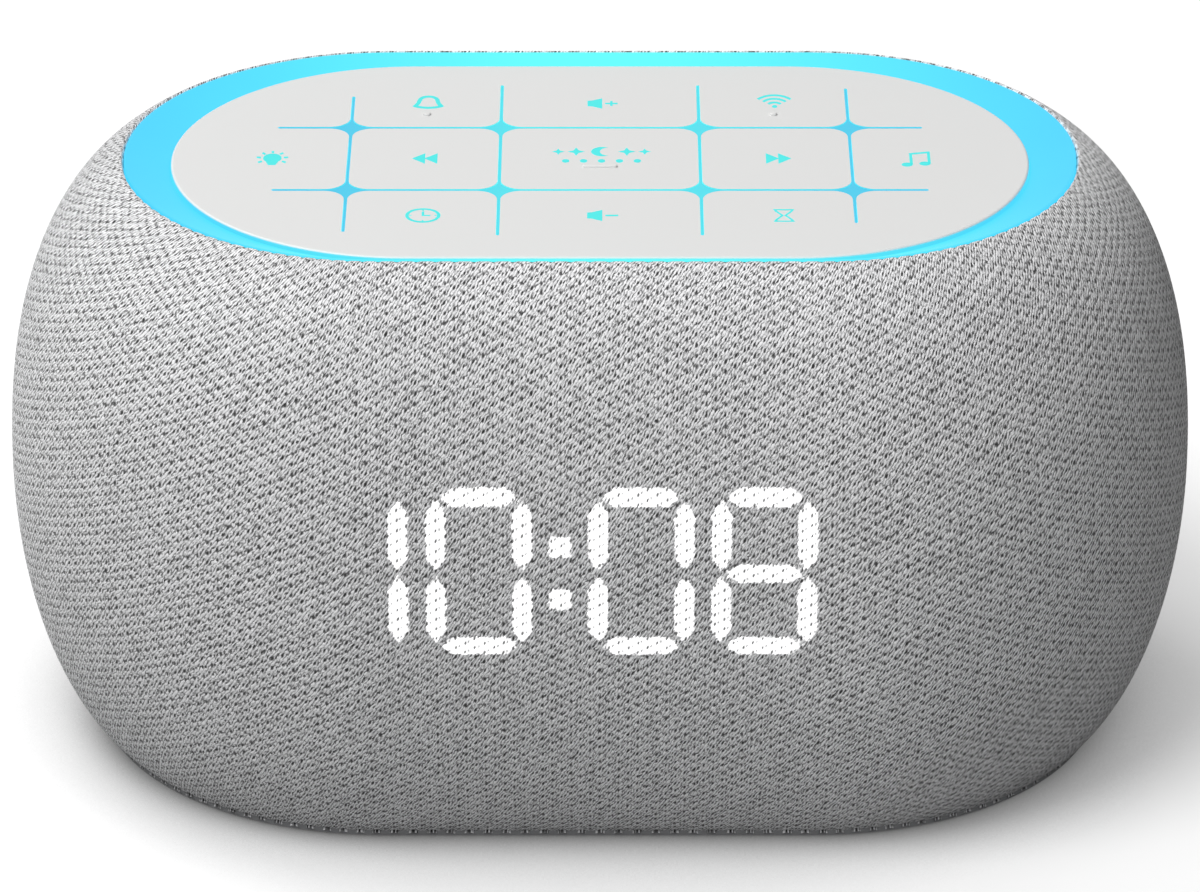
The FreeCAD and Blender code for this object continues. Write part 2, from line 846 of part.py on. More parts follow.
def make_top_leds():
    half = led_side / 2
    wall_middle = (carrier_radius + frame_radius - frame_wall) / 2
    places = around_stadium(ring_led_count, half_straight, wall_middle)
    places += slit_crossings() + [(0, -cross_slit_y), (0, cross_slit_y)]
    lamps = [block(x - half, x + half, y - half, y + half, board_top, board_top + led_height)
             for x, y in places]
    connector = block(-ribbon_width / 2 - half, ribbon_width / 2 + half, -connector_depth / 2,
                      connector_depth / 2, board_bottom - connector_height, board_bottom)
    return lamps + [connector]


# Display

def segment_face(x, z, half_length, upright, play, y):
    """A six-sided light bar, pointed at both ends."""
    half = segment_width / 2 - play
    tip = half_length - play
    shape = [(-tip, 0), (-tip + half, -half), (tip - half, -half),
             (tip, 0), (tip - half, half), (-tip + half, half)]
    if upright:
        shape = [(b, a) for a, b in shape]
    return polygon([Vector(x + a, y, z + b) for a, b in shape])


def segment_places():
    """Each light bar as x, z, half its length, and whether it is upright."""
    upright_half = (digit_half_height - segment_gap) / 2
    level_half = digit_half_width - segment_gap
    places = []
    for side in (1, -1):
        places.append((one_place, display_middle + side * digit_half_height / 2, upright_half, True))
    for x in digit_places:
        for z in (-digit_half_height, 0, digit_half_height):
            places.append((x, display_middle + z, level_half, False))
        for side in (1, -1):
            for level in (1, -1):
                places.append((x + side * digit_half_width, display_middle + level * digit_half_height / 2,
                               upright_half, True))
    return places


def light_bars(play, y_low, y_high):
    run = Vector(0, y_high - y_low, 0)
    bars = [segment_face(x, z, half, upright, play, y_low).extrude(run)
            for x, z, half, upright in segment_places()]
    half = colon_side / 2 - play
    for side in (1, -1):
        z = display_middle + side * colon_half_spacing
        bars.append(block(colon_x - half, colon_x + half, y_low, y_high, z - half, z + half))
    return bars


def make_display_housing():
    housing = block(-display_half_width, display_half_width, display_face, display_back,
                    display_low, display_top)
    return housing.cut(light_bars(0, display_face - overrun, display_back + overrun))


def make_display_segments():
    return light_bars(segment_play, display_face, display_face + segment_depth)


def display_screw_places():
    return [(x, display_middle + z) for x in (-display_screw_x, display_screw_x)
            for z in (-display_screw_half_spacing, display_screw_half_spacing)]


def make_display_board():
    board = block(-display_board_half_width, display_board_half_width, display_back,
                  display_back + board_thickness, display_middle - display_board_half_height,
                  display_middle + display_board_half_height)
    holes = [rod(x, z, display_back - overrun, display_back + board_thickness + overrun,
                 small_screw_radius + screw_pass_play) for x, z in display_screw_places()]
    return board.cut(holes)


def make_display_leds():
    half = led_side / 2
    places = [(x, z) for x, z, _, _ in segment_places()]
    places += [(colon_x, display_middle + side * colon_half_spacing) for side in (1, -1)]
    lamps = [block(x - half, x + half, display_back - led_height, display_back, z - half, z + half)
             for x, z in places]
    rear = display_back + board_thickness
    lamps.append(block(display_ribbon_x - ribbon_width / 2 - half, display_ribbon_x + ribbon_width / 2 + half,
                       rear, rear + connector_height, display_middle - connector_depth / 2,
                       display_middle + connector_depth / 2))
    return lamps


def screw_along_y(x, z, seat, length, towards):
    """A small screw with its head on the seat and its shank the other way along Y."""
    head_low, head_high = sorted((seat, seat - towards * small_head_height))
    head = rod(x, z, head_low, head_high, small_head_radius)
    start, end = sorted((seat - towards * small_head_height / 2, seat + towards * length))
    return fuse([head, rod(x, z, start, end, small_screw_radius)])


def make_display_screws():
    seat = display_back + board_thickness
    return [screw_along_y(x, z, seat, small_screw_length, -1) for x, z in display_screw_places()]


# Speaker

def speaker_screw_places():
    reach = speaker_ear_reach / math.sqrt(2)
    return [(x, speaker_middle + z) for x, z in corners(reach, reach)]


def make_speaker_basket():
    flange_back = speaker_face - speaker_flange
    profile = [
        (speaker_throat, speaker_face), (speaker_radius, speaker_face), (speaker_radius, flange_back),
        (speaker_throat + speaker_shell, flange_back), (speaker_neck + speaker_shell, speaker_back),
        (magnet_gap_outer, speaker_back), (magnet_gap_outer, speaker_back + speaker_plate),
        (speaker_neck, speaker_back + speaker_plate), (speaker_throat, flange_back),
    ]
    ears = [rod(x, z, flange_back, speaker_face, speaker_ear_radius) for x, z in speaker_screw_places()]
    tab_y = speaker_face - terminal_setback
    tab = block(-terminal_half_width, terminal_half_width, tab_y - terminal_thickness / 2,
                tab_y + terminal_thickness / 2, speaker_middle - terminal_reach,
                speaker_middle - speaker_neck - speaker_shell)
    inside = round_y([(0, speaker_back + speaker_plate), (speaker_neck, speaker_back + speaker_plate),
                      (speaker_throat, flange_back), (speaker_throat, speaker_face + overrun),
                      (0, speaker_face + overrun)], speaker_middle)
    basket = fuse([round_y(profile, speaker_middle), tab.cut(inside)]
                  + [ear.cut(inside) for ear in ears])
    holes = [rod(x, z, flange_back - overrun, speaker_face + overrun, small_screw_radius + screw_pass_play)
             for x, z in speaker_screw_places()]
    middle = (speaker_throat + speaker_neck) / 2
    for window in range(speaker_windows):
        turn = 2 * math.pi * window / speaker_windows
        if 4 * window == 3 * speaker_windows:
            continue
        holes.append(rod(middle * math.cos(turn), speaker_middle + middle * math.sin(turn),
                         speaker_back + speaker_plate + overrun, flange_back - overrun,
                         speaker_window_radius))
    return basket.cut(holes)


def make_speaker_magnet():
    magnet = rod(0, speaker_middle, magnet_front, speaker_back, magnet_radius)
    gap = rod(0, speaker_middle, speaker_back - magnet_gap_depth, speaker_back + overrun, magnet_gap_outer)
    pole = rod(0, speaker_middle, magnet_front, speaker_back, magnet_gap_inner)
    return fuse([magnet.cut(gap), pole])


def make_voice_coil():
    profile = [(coil_inner, speaker_back - coil_sunk), (coil_outer, speaker_back - coil_sunk),
               (coil_outer, cone_root()), (coil_inner, cone_root())]
    return round_y(profile, speaker_middle)


def cone_root():
    return speaker_face - cone_depth


def make_speaker_cone():
    root = cone_root()
    rim = speaker_face - speaker_flange
    profile = [(coil_inner, root), (coil_outer + cone_wall, root), (cone_outer, rim - cone_wall),
               (cone_outer, rim), (cone_outer - cone_wall, rim), (coil_outer, root + cone_wall),
               (coil_inner, root + cone_wall)]
    cone = round_y(profile, speaker_middle)
    cap = round_y([(0, root + cone_wall), (coil_inner, root + cone_wall),
                   (coil_inner * cap_shoulder_share, root + cap_rise * cap_flank_share),
                   (0, root + cap_rise)], speaker_middle)
    return fuse([cone, cap])


def make_speaker_surround():
    inner = cone_outer + surround_play
    rim = speaker_face - speaker_flange
    outer = speaker_throat
    middle = (inner + outer) / 2
    rise = (outer - inner) / 2
    face = closed_face([
        Part.Arc(Vector(inner, rim, speaker_middle), Vector(middle, rim + rise, speaker_middle),
                 Vector(outer, rim, speaker_middle)).toShape(),
        Part.Arc(Vector(inner + surround_wall, rim, speaker_middle),
                 Vector(middle, rim + rise - surround_wall, speaker_middle),
                 Vector(outer - surround_wall, rim, speaker_middle)).toShape(),
        Part.LineSegment(Vector(inner, rim, speaker_middle),
                         Vector(inner + surround_wall, rim, speaker_middle)).toShape(),
        Part.LineSegment(Vector(outer - surround_wall, rim, speaker_middle),
                         Vector(outer, rim, speaker_middle)).toShape(),
    ])
    return face.revolve(Vector(0, 0, speaker_middle), Vector(0, 1, 0), 360)


def make_speaker_gasket():
    return round_y([(speaker_throat, speaker_face), (speaker_radius, speaker_face),
                    (speaker_radius, baffle_front), (speaker_throat, baffle_front)], speaker_middle)


def make_speaker_screws():
    seat = speaker_face - speaker_flange
    length = gasket_thickness + speaker_flange + baffle_thickness * screw_bite_share
    return [screw_along_y(x, z, seat, length, 1) for x, z in speaker_screw_places()]


def make_speaker_leads():
    y = speaker_face - terminal_setback
    top = speaker_middle - terminal_reach
    return [post(side * lead_spacing / 2, y, main_top, top, lead_radius) for side in (1, -1)]


# Main board

def make_main_board():
    board = block(-main_half_width, main_half_width, main_front, main_rear, main_height, main_top)
    tongue = block(-main_tongue_half_width, main_tongue_half_width, main_rear - overrun,
                   main_tongue_end, main_height, main_top)
    holes = [post(x, y, main_height - overrun, main_top + overrun, small_screw_radius + screw_pass_play)
             for x, y in standoff_places()]
    return fuse([board, tongue]).cut(holes)


def make_board_screws():
    screws = []
    for x, y in standoff_places():
        head = post(x, y, main_top, main_top + small_head_height, small_head_radius)
        shank = post(x, y, main_top - small_screw_length, main_top + small_head_height / 2,
                     small_screw_radius)
        screws.append(fuse([head, shank]))
    return screws


def board_connector(x, y):
    half = ribbon_width / 2 + led_side / 2
    return block(x - half, x + half, y - connector_depth / 2, y + connector_depth / 2,
                 main_top, main_top + connector_height)


def board_chip(shares, side, height):
    x, y = board_place(shares)
    return block(x - side / 2, x + side / 2, y - side / 2, y + side / 2, main_top, main_top + height)


def make_board_parts():
    parts = [
        board_chip(voice_chip_shares, voice_chip_side, chip_height),
        board_chip(processor_shares, processor_side, chip_height),
        board_chip(amplifier_shares, amplifier_side, chip_height),
        board_chip(choke_shares, choke_side, choke_height),
        board_connector(0, 0),
        board_connector(display_ribbon_x, display_ribbon_y),
    ]
    for shares in capacitor_shares:
        x, y = board_place(shares)
        parts.append(post(x, y, main_top, main_top + capacitor_height, capacitor_radius))
    return parts


def cell_place():
    """The cell lies behind the key board's connector."""
    outer = cell_radius + cell_play + holder_wall
    return cell_side_share * main_half_width, connector_depth / 2 + cell_gap + outer, outer


def make_cell_holder():
    cell_x, cell_y, outer = cell_place()
    top = main_top + holder_floor + cell_thickness - holder_lip
    holder = block(cell_x - outer, cell_x + outer, cell_y - outer, cell_y + outer, main_top, top)
    return holder.cut(post(cell_x, cell_y, main_top + holder_floor, top + overrun, cell_radius + cell_play))


def make_coin_cell():
    cell_x, cell_y, _ = cell_place()
    low = main_top + holder_floor
    return post(cell_x, cell_y, low, low + cell_thickness, cell_radius)


def make_top_ribbon():
    low = main_top + connector_height
    high = board_bottom - connector_height
    return block(-ribbon_width / 2, ribbon_width / 2, -ribbon_thickness / 2, ribbon_thickness / 2, low, high)


def make_display_ribbon():
    """From the display board it runs back, bends down and drops to the main board."""
    start = display_back + board_thickness + connector_height
    drop = display_ribbon_y
    half = ribbon_thickness / 2
    left = display_ribbon_x - ribbon_width / 2
    low = main_top + connector_height
    bend = min(display_ribbon_bend, (drop - start) * bend_room_share)
    centre_y, centre_z = drop - bend, display_middle - bend
    diagonal = 1 / math.sqrt(2)
    edges = []
    rows = []
    for offset in (half, -half):
        radius = bend + offset
        a = Vector(left, start, display_middle + offset)
        b = Vector(left, centre_y, display_middle + offset)
        turn = Vector(left, centre_y + radius * diagonal, centre_z + radius * diagonal)
        c = Vector(left, drop + offset, centre_z)
        d = Vector(left, drop + offset, low)
        edges += [Part.LineSegment(a, b).toShape(), Part.Arc(b, turn, c).toShape(),
                  Part.LineSegment(c, d).toShape()]
        rows.append((a, d))
    edges.append(Part.LineSegment(rows[0][0], rows[1][0]).toShape())
    edges.append(Part.LineSegment(rows[0][1], rows[1][1]).toShape())
    return closed_face(edges).extrude(Vector(ribbon_width, 0, 0))


# Power inlet

def slot_solid(width, height, y_low, y_high):
    """A solid with round sides, lying along Y in the middle of the inlet."""
    radius = height / 2
    reach = width / 2 - radius
    return fuse([block(-reach, reach, y_low, y_high, inlet_middle - radius, inlet_middle + radius),
                 rod(-reach, inlet_middle, y_low, y_high, radius),
                 rod(reach, inlet_middle, y_low, y_high, radius)])


def make_power_inlet():
    rear = inlet_mouth - inlet_depth
    can = slot_solid(inlet_width, inlet_height, rear, inlet_mouth)
    hollow = slot_solid(inlet_width - 2 * inlet_wall, inlet_height - 2 * inlet_wall, rear + inlet_wall,
                        inlet_mouth + overrun)
    tongue = block(-inlet_tongue_width / 2, inlet_tongue_width / 2, rear + inlet_wall / 2,
                   inlet_mouth - inlet_height / 2, inlet_middle - inlet_tongue_height / 2,
                   inlet_middle + inlet_tongue_height / 2)
    foot = block(-inlet_width / 4, inlet_width / 4, rear, main_tongue_end, main_top,
                 inlet_middle - inlet_height / 2 + inlet_wall / 2)
    return fuse([can.cut(hollow), tongue, foot])


def make_port_bezel():
    inner = profile_radius(bezel_low) - shell_inset - shell_wall
    outer, outer_low, outer_top = outline(-bezel_proud, bezel_low, bezel_top)
    back = [outer_top, Vector(inner, 0, bezel_top), Vector(inner, 0, bezel_low), outer_low]
    face = closed_face([outer] + straight_edges(back))
    face.rotate(Vector(0, 0, 0), UP, 90)
    face.translate(Vector(-bezel_half_width, 0, 0))
    body = face.extrude(Vector(2 * bezel_half_width, 0, 0))
    front = inlet_mouth + bezel_proud - bezel_front_wall
    chamber = block(-bezel_half_width + bezel_wall, bezel_half_width - bezel_wall, inner - overrun, front,
                    bezel_low + bezel_wall, bezel_top - bezel_wall)
    slot = slot_solid(inlet_width + 2 * inlet_play, inlet_height + 2 * inlet_play, inner,
                      belly_radius + overrun)
    return body.cut([chamber, slot])


# Writing each named piece

def write(name, shape):
    if isinstance(shape, list):
        shape = shape[0] if len(shape) == 1 else Part.makeCompound(shape)
    shape.exportStep("parts/%s.step" % name)


def main():
    os.makedirs("parts", exist_ok=True)
    pieces = {
        "fabric_sleeve": make_fabric_sleeve(),
        "upper_shell": make_upper_shell(),
        "lower_shell": make_lower_shell(),
        "base_plate": make_base_plate(),
        "foot_pads": make_foot_pads(),
        "base_screws": make_base_screws(),
        "light_ring": make_light_ring(),
        "control_plate": make_control_plate(),
        "key_light_grid": make_key_light_grid(),
        "grid_frame": make_grid_frame(),
        "top_frame": make_top_frame(),
        "frame_screws": make_frame_screws(),
        "top_board": make_top_board(),
        "top_leds": make_top_leds(),
        "tact_switches": make_tact_switches(),
        "display_housing": make_display_housing(),
        "display_segments": make_display_segments(),
        "display_board": make_display_board(),
        "display_leds": make_display_leds(),
        "display_screws": make_display_screws(),
        "speaker_basket": make_speaker_basket(),
        "speaker_magnet": make_speaker_magnet(),
        "speaker_cone": make_speaker_cone(),
        "voice_coil": make_voice_coil(),
        "speaker_surround": make_speaker_surround(),
        "speaker_gasket": make_speaker_gasket(),
        "speaker_screws": make_speaker_screws(),
        "speaker_leads": make_speaker_leads(),
        "main_board": make_main_board(),
        "board_parts": make_board_parts(),
        "board_screws": make_board_screws(),
        "cell_holder": make_cell_holder(),
        "coin_cell": make_coin_cell(),
        "power_inlet": make_power_inlet(),
        "port_bezel": make_port_bezel(),
        "top_ribbon": make_top_ribbon(),
        "display_ribbon": make_display_ribbon(),
    }
    for name in key_corners():
        pieces[name + "_key"] = make_key(name)
        pieces[name + "_plunger"] = make_plunger(name)
    for name, shape in pieces.items():
        write(name, shape)


main()
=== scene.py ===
import json
import math

import bmesh
import bpy
import numpy as np
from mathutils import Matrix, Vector


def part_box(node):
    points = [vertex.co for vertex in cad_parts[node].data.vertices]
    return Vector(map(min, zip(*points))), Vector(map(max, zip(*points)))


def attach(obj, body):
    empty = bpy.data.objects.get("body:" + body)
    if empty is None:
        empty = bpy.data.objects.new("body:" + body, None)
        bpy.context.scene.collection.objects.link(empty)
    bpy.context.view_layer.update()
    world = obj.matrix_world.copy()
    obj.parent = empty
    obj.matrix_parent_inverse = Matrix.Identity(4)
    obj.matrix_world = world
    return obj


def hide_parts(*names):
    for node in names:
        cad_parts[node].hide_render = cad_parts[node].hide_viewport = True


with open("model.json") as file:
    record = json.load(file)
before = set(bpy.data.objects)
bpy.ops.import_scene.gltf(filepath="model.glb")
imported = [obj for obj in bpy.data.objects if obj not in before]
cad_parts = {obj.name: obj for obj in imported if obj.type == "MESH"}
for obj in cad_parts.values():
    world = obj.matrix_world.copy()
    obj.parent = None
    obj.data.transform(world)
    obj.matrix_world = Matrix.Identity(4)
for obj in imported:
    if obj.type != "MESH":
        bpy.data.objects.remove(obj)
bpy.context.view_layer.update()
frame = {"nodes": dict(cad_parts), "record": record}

# The finish of a bedside clock: its knit, its lit ring and signs, and a material for every piece.
# Sizes are in millimetres, and MM turns them into the frame's metres.
MM = 0.001


# Sizes read from the frame

def box_mm(node):
    low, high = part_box(node)
    return [value / MM for value in low], [value / MM for value in high]


sleeve_low, sleeve_high = box_mm("fabric_sleeve")
plate_top = box_mm("control_plate")[1][2]
housing_low, housing_high = box_mm("display_housing")
bezel_low, bezel_high = box_mm("port_bezel")

belly_radius = sleeve_high[1]
half_straight = sleeve_high[0] - belly_radius
body_height = sleeve_high[2]
fabric_low = sleeve_low[2]
display_middle = (housing_low[2] + housing_high[2]) / 2


# Form of the knit skin, as the frame's sleeve has it

belly_share = 0.4709
opening_radius = 35.1
base_radius = 39.2
upper_power_share = 2.27
upper_reach_share = 0.959
lower_power_share = 1.97
lower_reach_share = 0.948
belly_height = belly_share * body_height
tuck_depth = 4.4
fold_radius = 0.3
fold_steps = 12
rim_rise = 0.1
rim_reach = 4.0
profile_samples = 1200

# The knit itself
column_width = 1.25
stitch_height = 1.4
end_pitch_radius = 45.0
end_pitch_drop = 12.0
end_samples = 361
points_per_column = 2
points_per_stitch = 2
hole_dimple = 0.12
bezel_play = 0.15
hem_depth = 0.8
edge_near = 0.05


def profile_radius(height):
    """Radius of the knit's outer face at a height, from an end's centre."""
    if height >= belly_height:
        span = body_height - belly_height
        drop = belly_radius - opening_radius
        reach, power = upper_reach_share, upper_power_share
    else:
        span = belly_height
        drop = belly_radius - base_radius
        reach, power = lower_reach_share, lower_power_share
    along = min(reach * abs(height - belly_height) / span, 1)
    full = 1 - (1 - reach ** power) ** (1 / power)
    return belly_radius - drop * (1 - (1 - along ** power) ** (1 / power)) / full


def fold_points(corner, heading):
    """The arc that turns the skin over the opening's edge and down, tangent to both sides."""
    turn = 1.5 * math.pi - heading
    setback = fold_radius * math.tan(turn / 2)
    start = corner - setback * np.array([math.cos(heading), math.sin(heading)])
    centre = start + fold_radius * np.array([-math.sin(heading), math.cos(heading)])
    steps = [heading + turn * step / fold_steps for step in range(fold_steps + 1)]
    return start, [centre + fold_radius * np.array([math.sin(a), -math.cos(a)]) for a in steps]


def skin_profile():
    """The skin's section as (radius, height), from its lower hem over the top edge and down the tuck."""
    heights = fabric_low + (body_height - fabric_low) * (
        1 - np.cos(np.linspace(0, math.pi, profile_samples))) / 2
    outer = np.array([(profile_radius(z), z) for z in heights])
    near_rim = np.clip(1 - np.linalg.norm(outer - outer[-1], axis=1) / rim_reach, 0, 1)
    outer[:, 1] += rim_rise * near_rim ** 2
    corner = outer[-1]
    run = corner - outer[-4]
    heading = math.atan2(run[1], run[0])
    start, fold = fold_points(corner, heading)
    kept = outer[np.linalg.norm(outer - corner, axis=1) > np.linalg.norm(start - corner)]
    tuck_end = np.array([[opening_radius, body_height - tuck_depth]])
    return np.vstack([kept, fold, tuck_end])


def evenly_spaced(line, step):
    """Points along a line, about a step apart and one of them at its top, with the length to each."""
    lengths = np.concatenate([[0], np.cumsum(np.linalg.norm(np.diff(line, axis=0), axis=1))])
    count = int(round(lengths[-1] / step))
    along = snapped(np.linspace(0, lengths[-1], count + 1), [lengths[np.argmax(line[:, 1])]])
    return np.column_stack([np.interp(along, lengths, line[:, axis]) for axis in (0, 1)]), along


def snapped(values, targets):
    """The values, with the one nearest to each target moved onto it."""
    values = np.array(values)
    for target in targets:
        values[np.argmin(abs(values - target))] = target
    return values


# the columns spread towards the middle of each end, where the knit is stretched most
end_turns = np.linspace(0, math.pi, end_samples)
end_lengths = end_pitch_radius * end_turns - end_pitch_drop * (end_turns - np.sin(2 * end_turns) / 2) / 2
turn_length = end_lengths[-1]
knit_girth = 4 * half_straight + 2 * turn_length


def stadium_place(along, radius):
    """Plan place at a knit coordinate along the stadium, counted from the front's middle."""
    half = half_straight
    if along < half:
        return along, -radius
    if along < half + turn_length:
        turn = np.interp(along - half, end_lengths, end_turns) - math.pi / 2
        return half + radius * math.cos(turn), radius * math.sin(turn)
    if along < 3 * half + turn_length:
        return 2 * half + turn_length - along, radius
    if along < knit_girth - half:
        turn = np.interp(along - 3 * half - turn_length, end_lengths, end_turns) + math.pi / 2
        return -half + radius * math.cos(turn), radius * math.sin(turn)
    return along - knit_girth, -radius


# Lit parts of the display, as places on the front in plan X and height

segment_width = 2.7
digit_half_width = 5.6
digit_half_height = 10.5
minutes_x = 5.35
digit_gap = 4.8
colon_room = 5.05
one_step = 10.5
colon_half_spacing = 3.72
colon_side = 3.0
digit_pitch = 2 * digit_half_width + digit_gap
hour_x = minutes_x - digit_pitch - colon_room
colon_x = (hour_x + minutes_x) / 2
one_x = hour_x - one_step
upright_half = 4.95
level_half = 5.3
tip_share = 0.72
far_outside = -50.0
UPRIGHTS = ((1, 1), (1, -1), (-1, 1), (-1, -1))


def lit_bars():
    """Each lit bar as x, z, half length and whether it stands upright: the time shown is 10:08."""
    middle, half_height = display_middle, digit_half_height
    bars = [(one_x, middle + side * half_height / 2, upright_half, True) for side in (1, -1)]
    for x, levels in ((hour_x, (-1, 1)), (minutes_x, (-1, 1)), (minutes_x + digit_pitch, (-1, 0, 1))):
        bars += [(x, middle + level * half_height, level_half, False) for level in levels]
        bars += [(x + side * digit_half_width, middle + level * half_height / 2, upright_half, True)
                 for side, level in UPRIGHTS]
    return bars


def depth_in_light(x, z):
    """How far inside the nearest lit bar a place on the front lies; negative outside."""
    best = np.full(len(x), far_outside)
    for bar_x, bar_z, half, upright in lit_bars():
        across, along = (abs(x - bar_x), abs(z - bar_z)) if upright else (abs(z - bar_z), abs(x - bar_x))
        tip = ((half - along) * tip_share - across) / math.hypot(tip_share, 1)
        inside = np.minimum(segment_width / 2 - across, tip)
        best = np.maximum(best, inside)
    for side in (1, -1):
        dot_z = display_middle + side * colon_half_spacing
        inside = colon_side / 2 - np.maximum(abs(x - colon_x), abs(z - dot_z))
        best = np.maximum(best, inside)
    return best


# Building meshes

def new_mesh_object(name, points, faces, smooth=True):
    mesh = bpy.data.meshes.new(name)
    mesh.from_pydata([tuple(value * MM for value in point) for point in points], [], faces)
    mesh.update()
    mesh.polygons.foreach_set("use_smooth", [smooth] * len(mesh.polygons))
    piece = bpy.data.objects.new(name, mesh)
    bpy.context.scene.collection.objects.link(piece)
    return piece


def skin_grid():
    """Places of the knit's points, by row up the section and by column round the body."""
    step = stitch_height / points_per_stitch
    section, lengths = evenly_spaced(skin_profile(), step)
    holes = (bezel_low[2] - bezel_play, bezel_high[2] + bezel_play)
    heights = section[:, 1].copy()
    below = heights < belly_height
    heights[below] = snapped(heights[below], holes)
    section[below] = [(profile_radius(z), z) for z in heights[below]]
    columns = 2 * int(round(knit_girth / column_width / 2))
    alongs = np.linspace(0, knit_girth, columns * points_per_column + 1)
    rear = knit_girth / 2
    half_hole = bezel_high[0] + bezel_play
    return section, lengths, snapped(alongs, (rear - half_hole, rear + half_hole))


def knit_points(section, alongs):
    """The knit's points, with those at the pinholes pushed in across the section."""
    slope = np.gradient(section, axis=0)
    slope /= np.linalg.norm(slope, axis=1)[:, None]
    rows = len(section)
    points = np.zeros((rows, len(alongs) - 1, 3))
    stitch_rows = np.arange(rows) / points_per_stitch
    for column, along in enumerate(alongs[:-1]):
        odd = column // points_per_column % 2
        on_column = column % points_per_column == 0
        at_hole = on_column & np.isclose((stitch_rows + odd / 2) % 1, 0)
        radii = section[:, 0] - np.where(at_hole, hole_dimple * slope[:, 1], 0)
        heights = section[:, 1] + np.where(at_hole, hole_dimple * slope[:, 0], 0)
        for row in range(rows):
            points[row, column] = (*stadium_place(along, radii[row]), heights[row])
    return points


def at_port(place):
    """Whether a place on the knit lies over the power port at the rear."""
    return (place[1] > 0 and abs(place[0]) < bezel_high[0] + bezel_play
            and bezel_low[2] - bezel_play < place[2] < bezel_high[2] + bezel_play)


def make_knit():
    """The knit over the body, open at the port, and the lengths to its rows."""
    section, lengths, alongs = skin_grid()
    points = knit_points(section, alongs)
    rows, across = points.shape[:2]
    faces, corners = [], []
    for row in range(rows - 1):
        for column in range(across):
            after = (column + 1) % across
            if at_port((points[row, column] + points[row + 1, after]) / 2):
                continue
            faces.append((row * across + column, row * across + after,
                          (row + 1) * across + after, (row + 1) * across + column))
            corners.append((row, column))
    piece = new_mesh_object("knit_sleeve", points.reshape(-1, 3), faces)
    uv = piece.data.uv_layers.new(name="knit")
    values = []
    for row, column in corners:
        for up, side in ((0, 0), (0, 1), (1, 1), (1, 0)):
            values += [(column + side) / points_per_column, (row + up) / points_per_stitch]
    uv.data.foreach_set("uv", values)
    add_light_depth(piece)
    hem_loose_edges(piece)
    return piece, lengths


def add_light_depth(piece):
    """Stores for every point how deep it lies in the display's light, in millimetres."""
    places = np.zeros(len(piece.data.vertices) * 3)
    piece.data.vertices.foreach_get("co", places)
    places = places.reshape(-1, 3) / MM
    depth = depth_in_light(places[:, 0], places[:, 2])
    depth[places[:, 1] > 0] = far_outside
    layer = piece.data.attributes.new("light_depth", "FLOAT", "POINT")
    layer.data.foreach_set("value", depth.astype(np.float32))


def hem_loose_edges(piece):
    """Turns the knit's lower edge and the edge round the port inwards, so that its thickness shows."""
    mesh = bmesh.new()
    mesh.from_mesh(piece.data)
    bmesh.ops.delete(mesh, geom=[v for v in mesh.verts if not v.link_faces], context="VERTS")
    low, tuck_end = (fabric_low + edge_near) * MM, (body_height - tuck_depth - edge_near) * MM
    for lower in (True, False):
        edges = [e for e in mesh.edges if e.is_boundary and max(v.co.z for v in e.verts) < tuck_end]
        edges = [e for e in edges if (max(v.co.z for v in e.verts) < low) == lower]
        made = bmesh.ops.extrude_edge_only(mesh, edges=edges)["geom"]
        for vertex in (g for g in made if isinstance(g, bmesh.types.BMVert)):
            if lower:
                end = max(-half_straight * MM, min(half_straight * MM, vertex.co.x))
                inward = (Vector((end, 0, vertex.co.z)) - vertex.co).normalized()
            else:
                inward = Vector((0, -1, 0))
            vertex.co += inward * hem_depth * MM
    mesh.to_mesh(piece.data)
    mesh.free()
    piece.data.polygons.foreach_set("use_smooth", [True] * len(piece.data.polygons))


# Signs on the keys

sign_proud = 0.02
sign_sunk = 0.03
line_width = 0.46
arc_steps = 10
mitre_least = 0.5


def arc(centre_x, centre_y, radius, start, end, steps=arc_steps):
    """Points of an arc between two angles in degrees."""
    turns = [math.radians(start + (end - start) * step / steps) for step in range(steps + 1)]
    return [(centre_x + radius * math.cos(turn), centre_y + radius * math.sin(turn)) for turn in turns]


def offset_line(points, distance, closed):
    """The line moved sideways, with mitred corners."""
    moved = []
    count = len(points)
    for index, point in enumerate(points):
        before = points[index - 1] if closed or index > 0 else None
        after = points[(index + 1) % count] if closed or index < count - 1 else None
        normals = []
        for a, b in ((before, point), (point, after)):
            if a is None or b is None:
                continue
            run = Vector((b[0] - a[0], b[1] - a[1])).normalized()
            normals.append(Vector((-run.y, run.x)))
        normal = sum(normals, Vector((0, 0))).normalized()
        stretch = 1 / max(normal.dot(normals[0]), mitre_least)
        moved.append((point[0] + normal.x * distance * stretch, point[1] + normal.y * distance * stretch))
    return moved


def add_plate(mesh, outer, inner=None):
    """A thin plate with an outline and, if given, a matching outline of its hole."""
    low, high = (plate_top - sign_sunk) * MM, (plate_top + sign_proud) * MM
    loops = [outer] if inner is None else [outer, inner]
    tops = [[mesh.verts.new((x * MM, y * MM, high)) for x, y in loop] for loop in loops]
    bottoms = [[mesh.verts.new((x * MM, y * MM, low)) for x, y in loop] for loop in loops]
    count = len(outer)
    for top, bottom in zip(tops, bottoms):
        for k in range(count):
            mesh.faces.new((top[k], top[(k + 1) % count], bottom[(k + 1) % count], bottom[k]))
    if inner is None:
        mesh.faces.new(tops[0])
        mesh.faces.new(list(reversed(bottoms[0])))
        return
    for k in range(count):
        after = (k + 1) % count
        mesh.faces.new((tops[0][k], tops[0][after], tops[1][after], tops[1][k]))
        mesh.faces.new((bottoms[0][k], bottoms[1][k], bottoms[1][after], bottoms[0][after]))


def add_line(mesh, points, width=line_width, closed=False):
    left, right = (offset_line(points, side * width / 2, closed) for side in (1, -1))
    if closed:
        add_plate(mesh, left, right)
    else:
        add_plate(mesh, left + right[::-1])


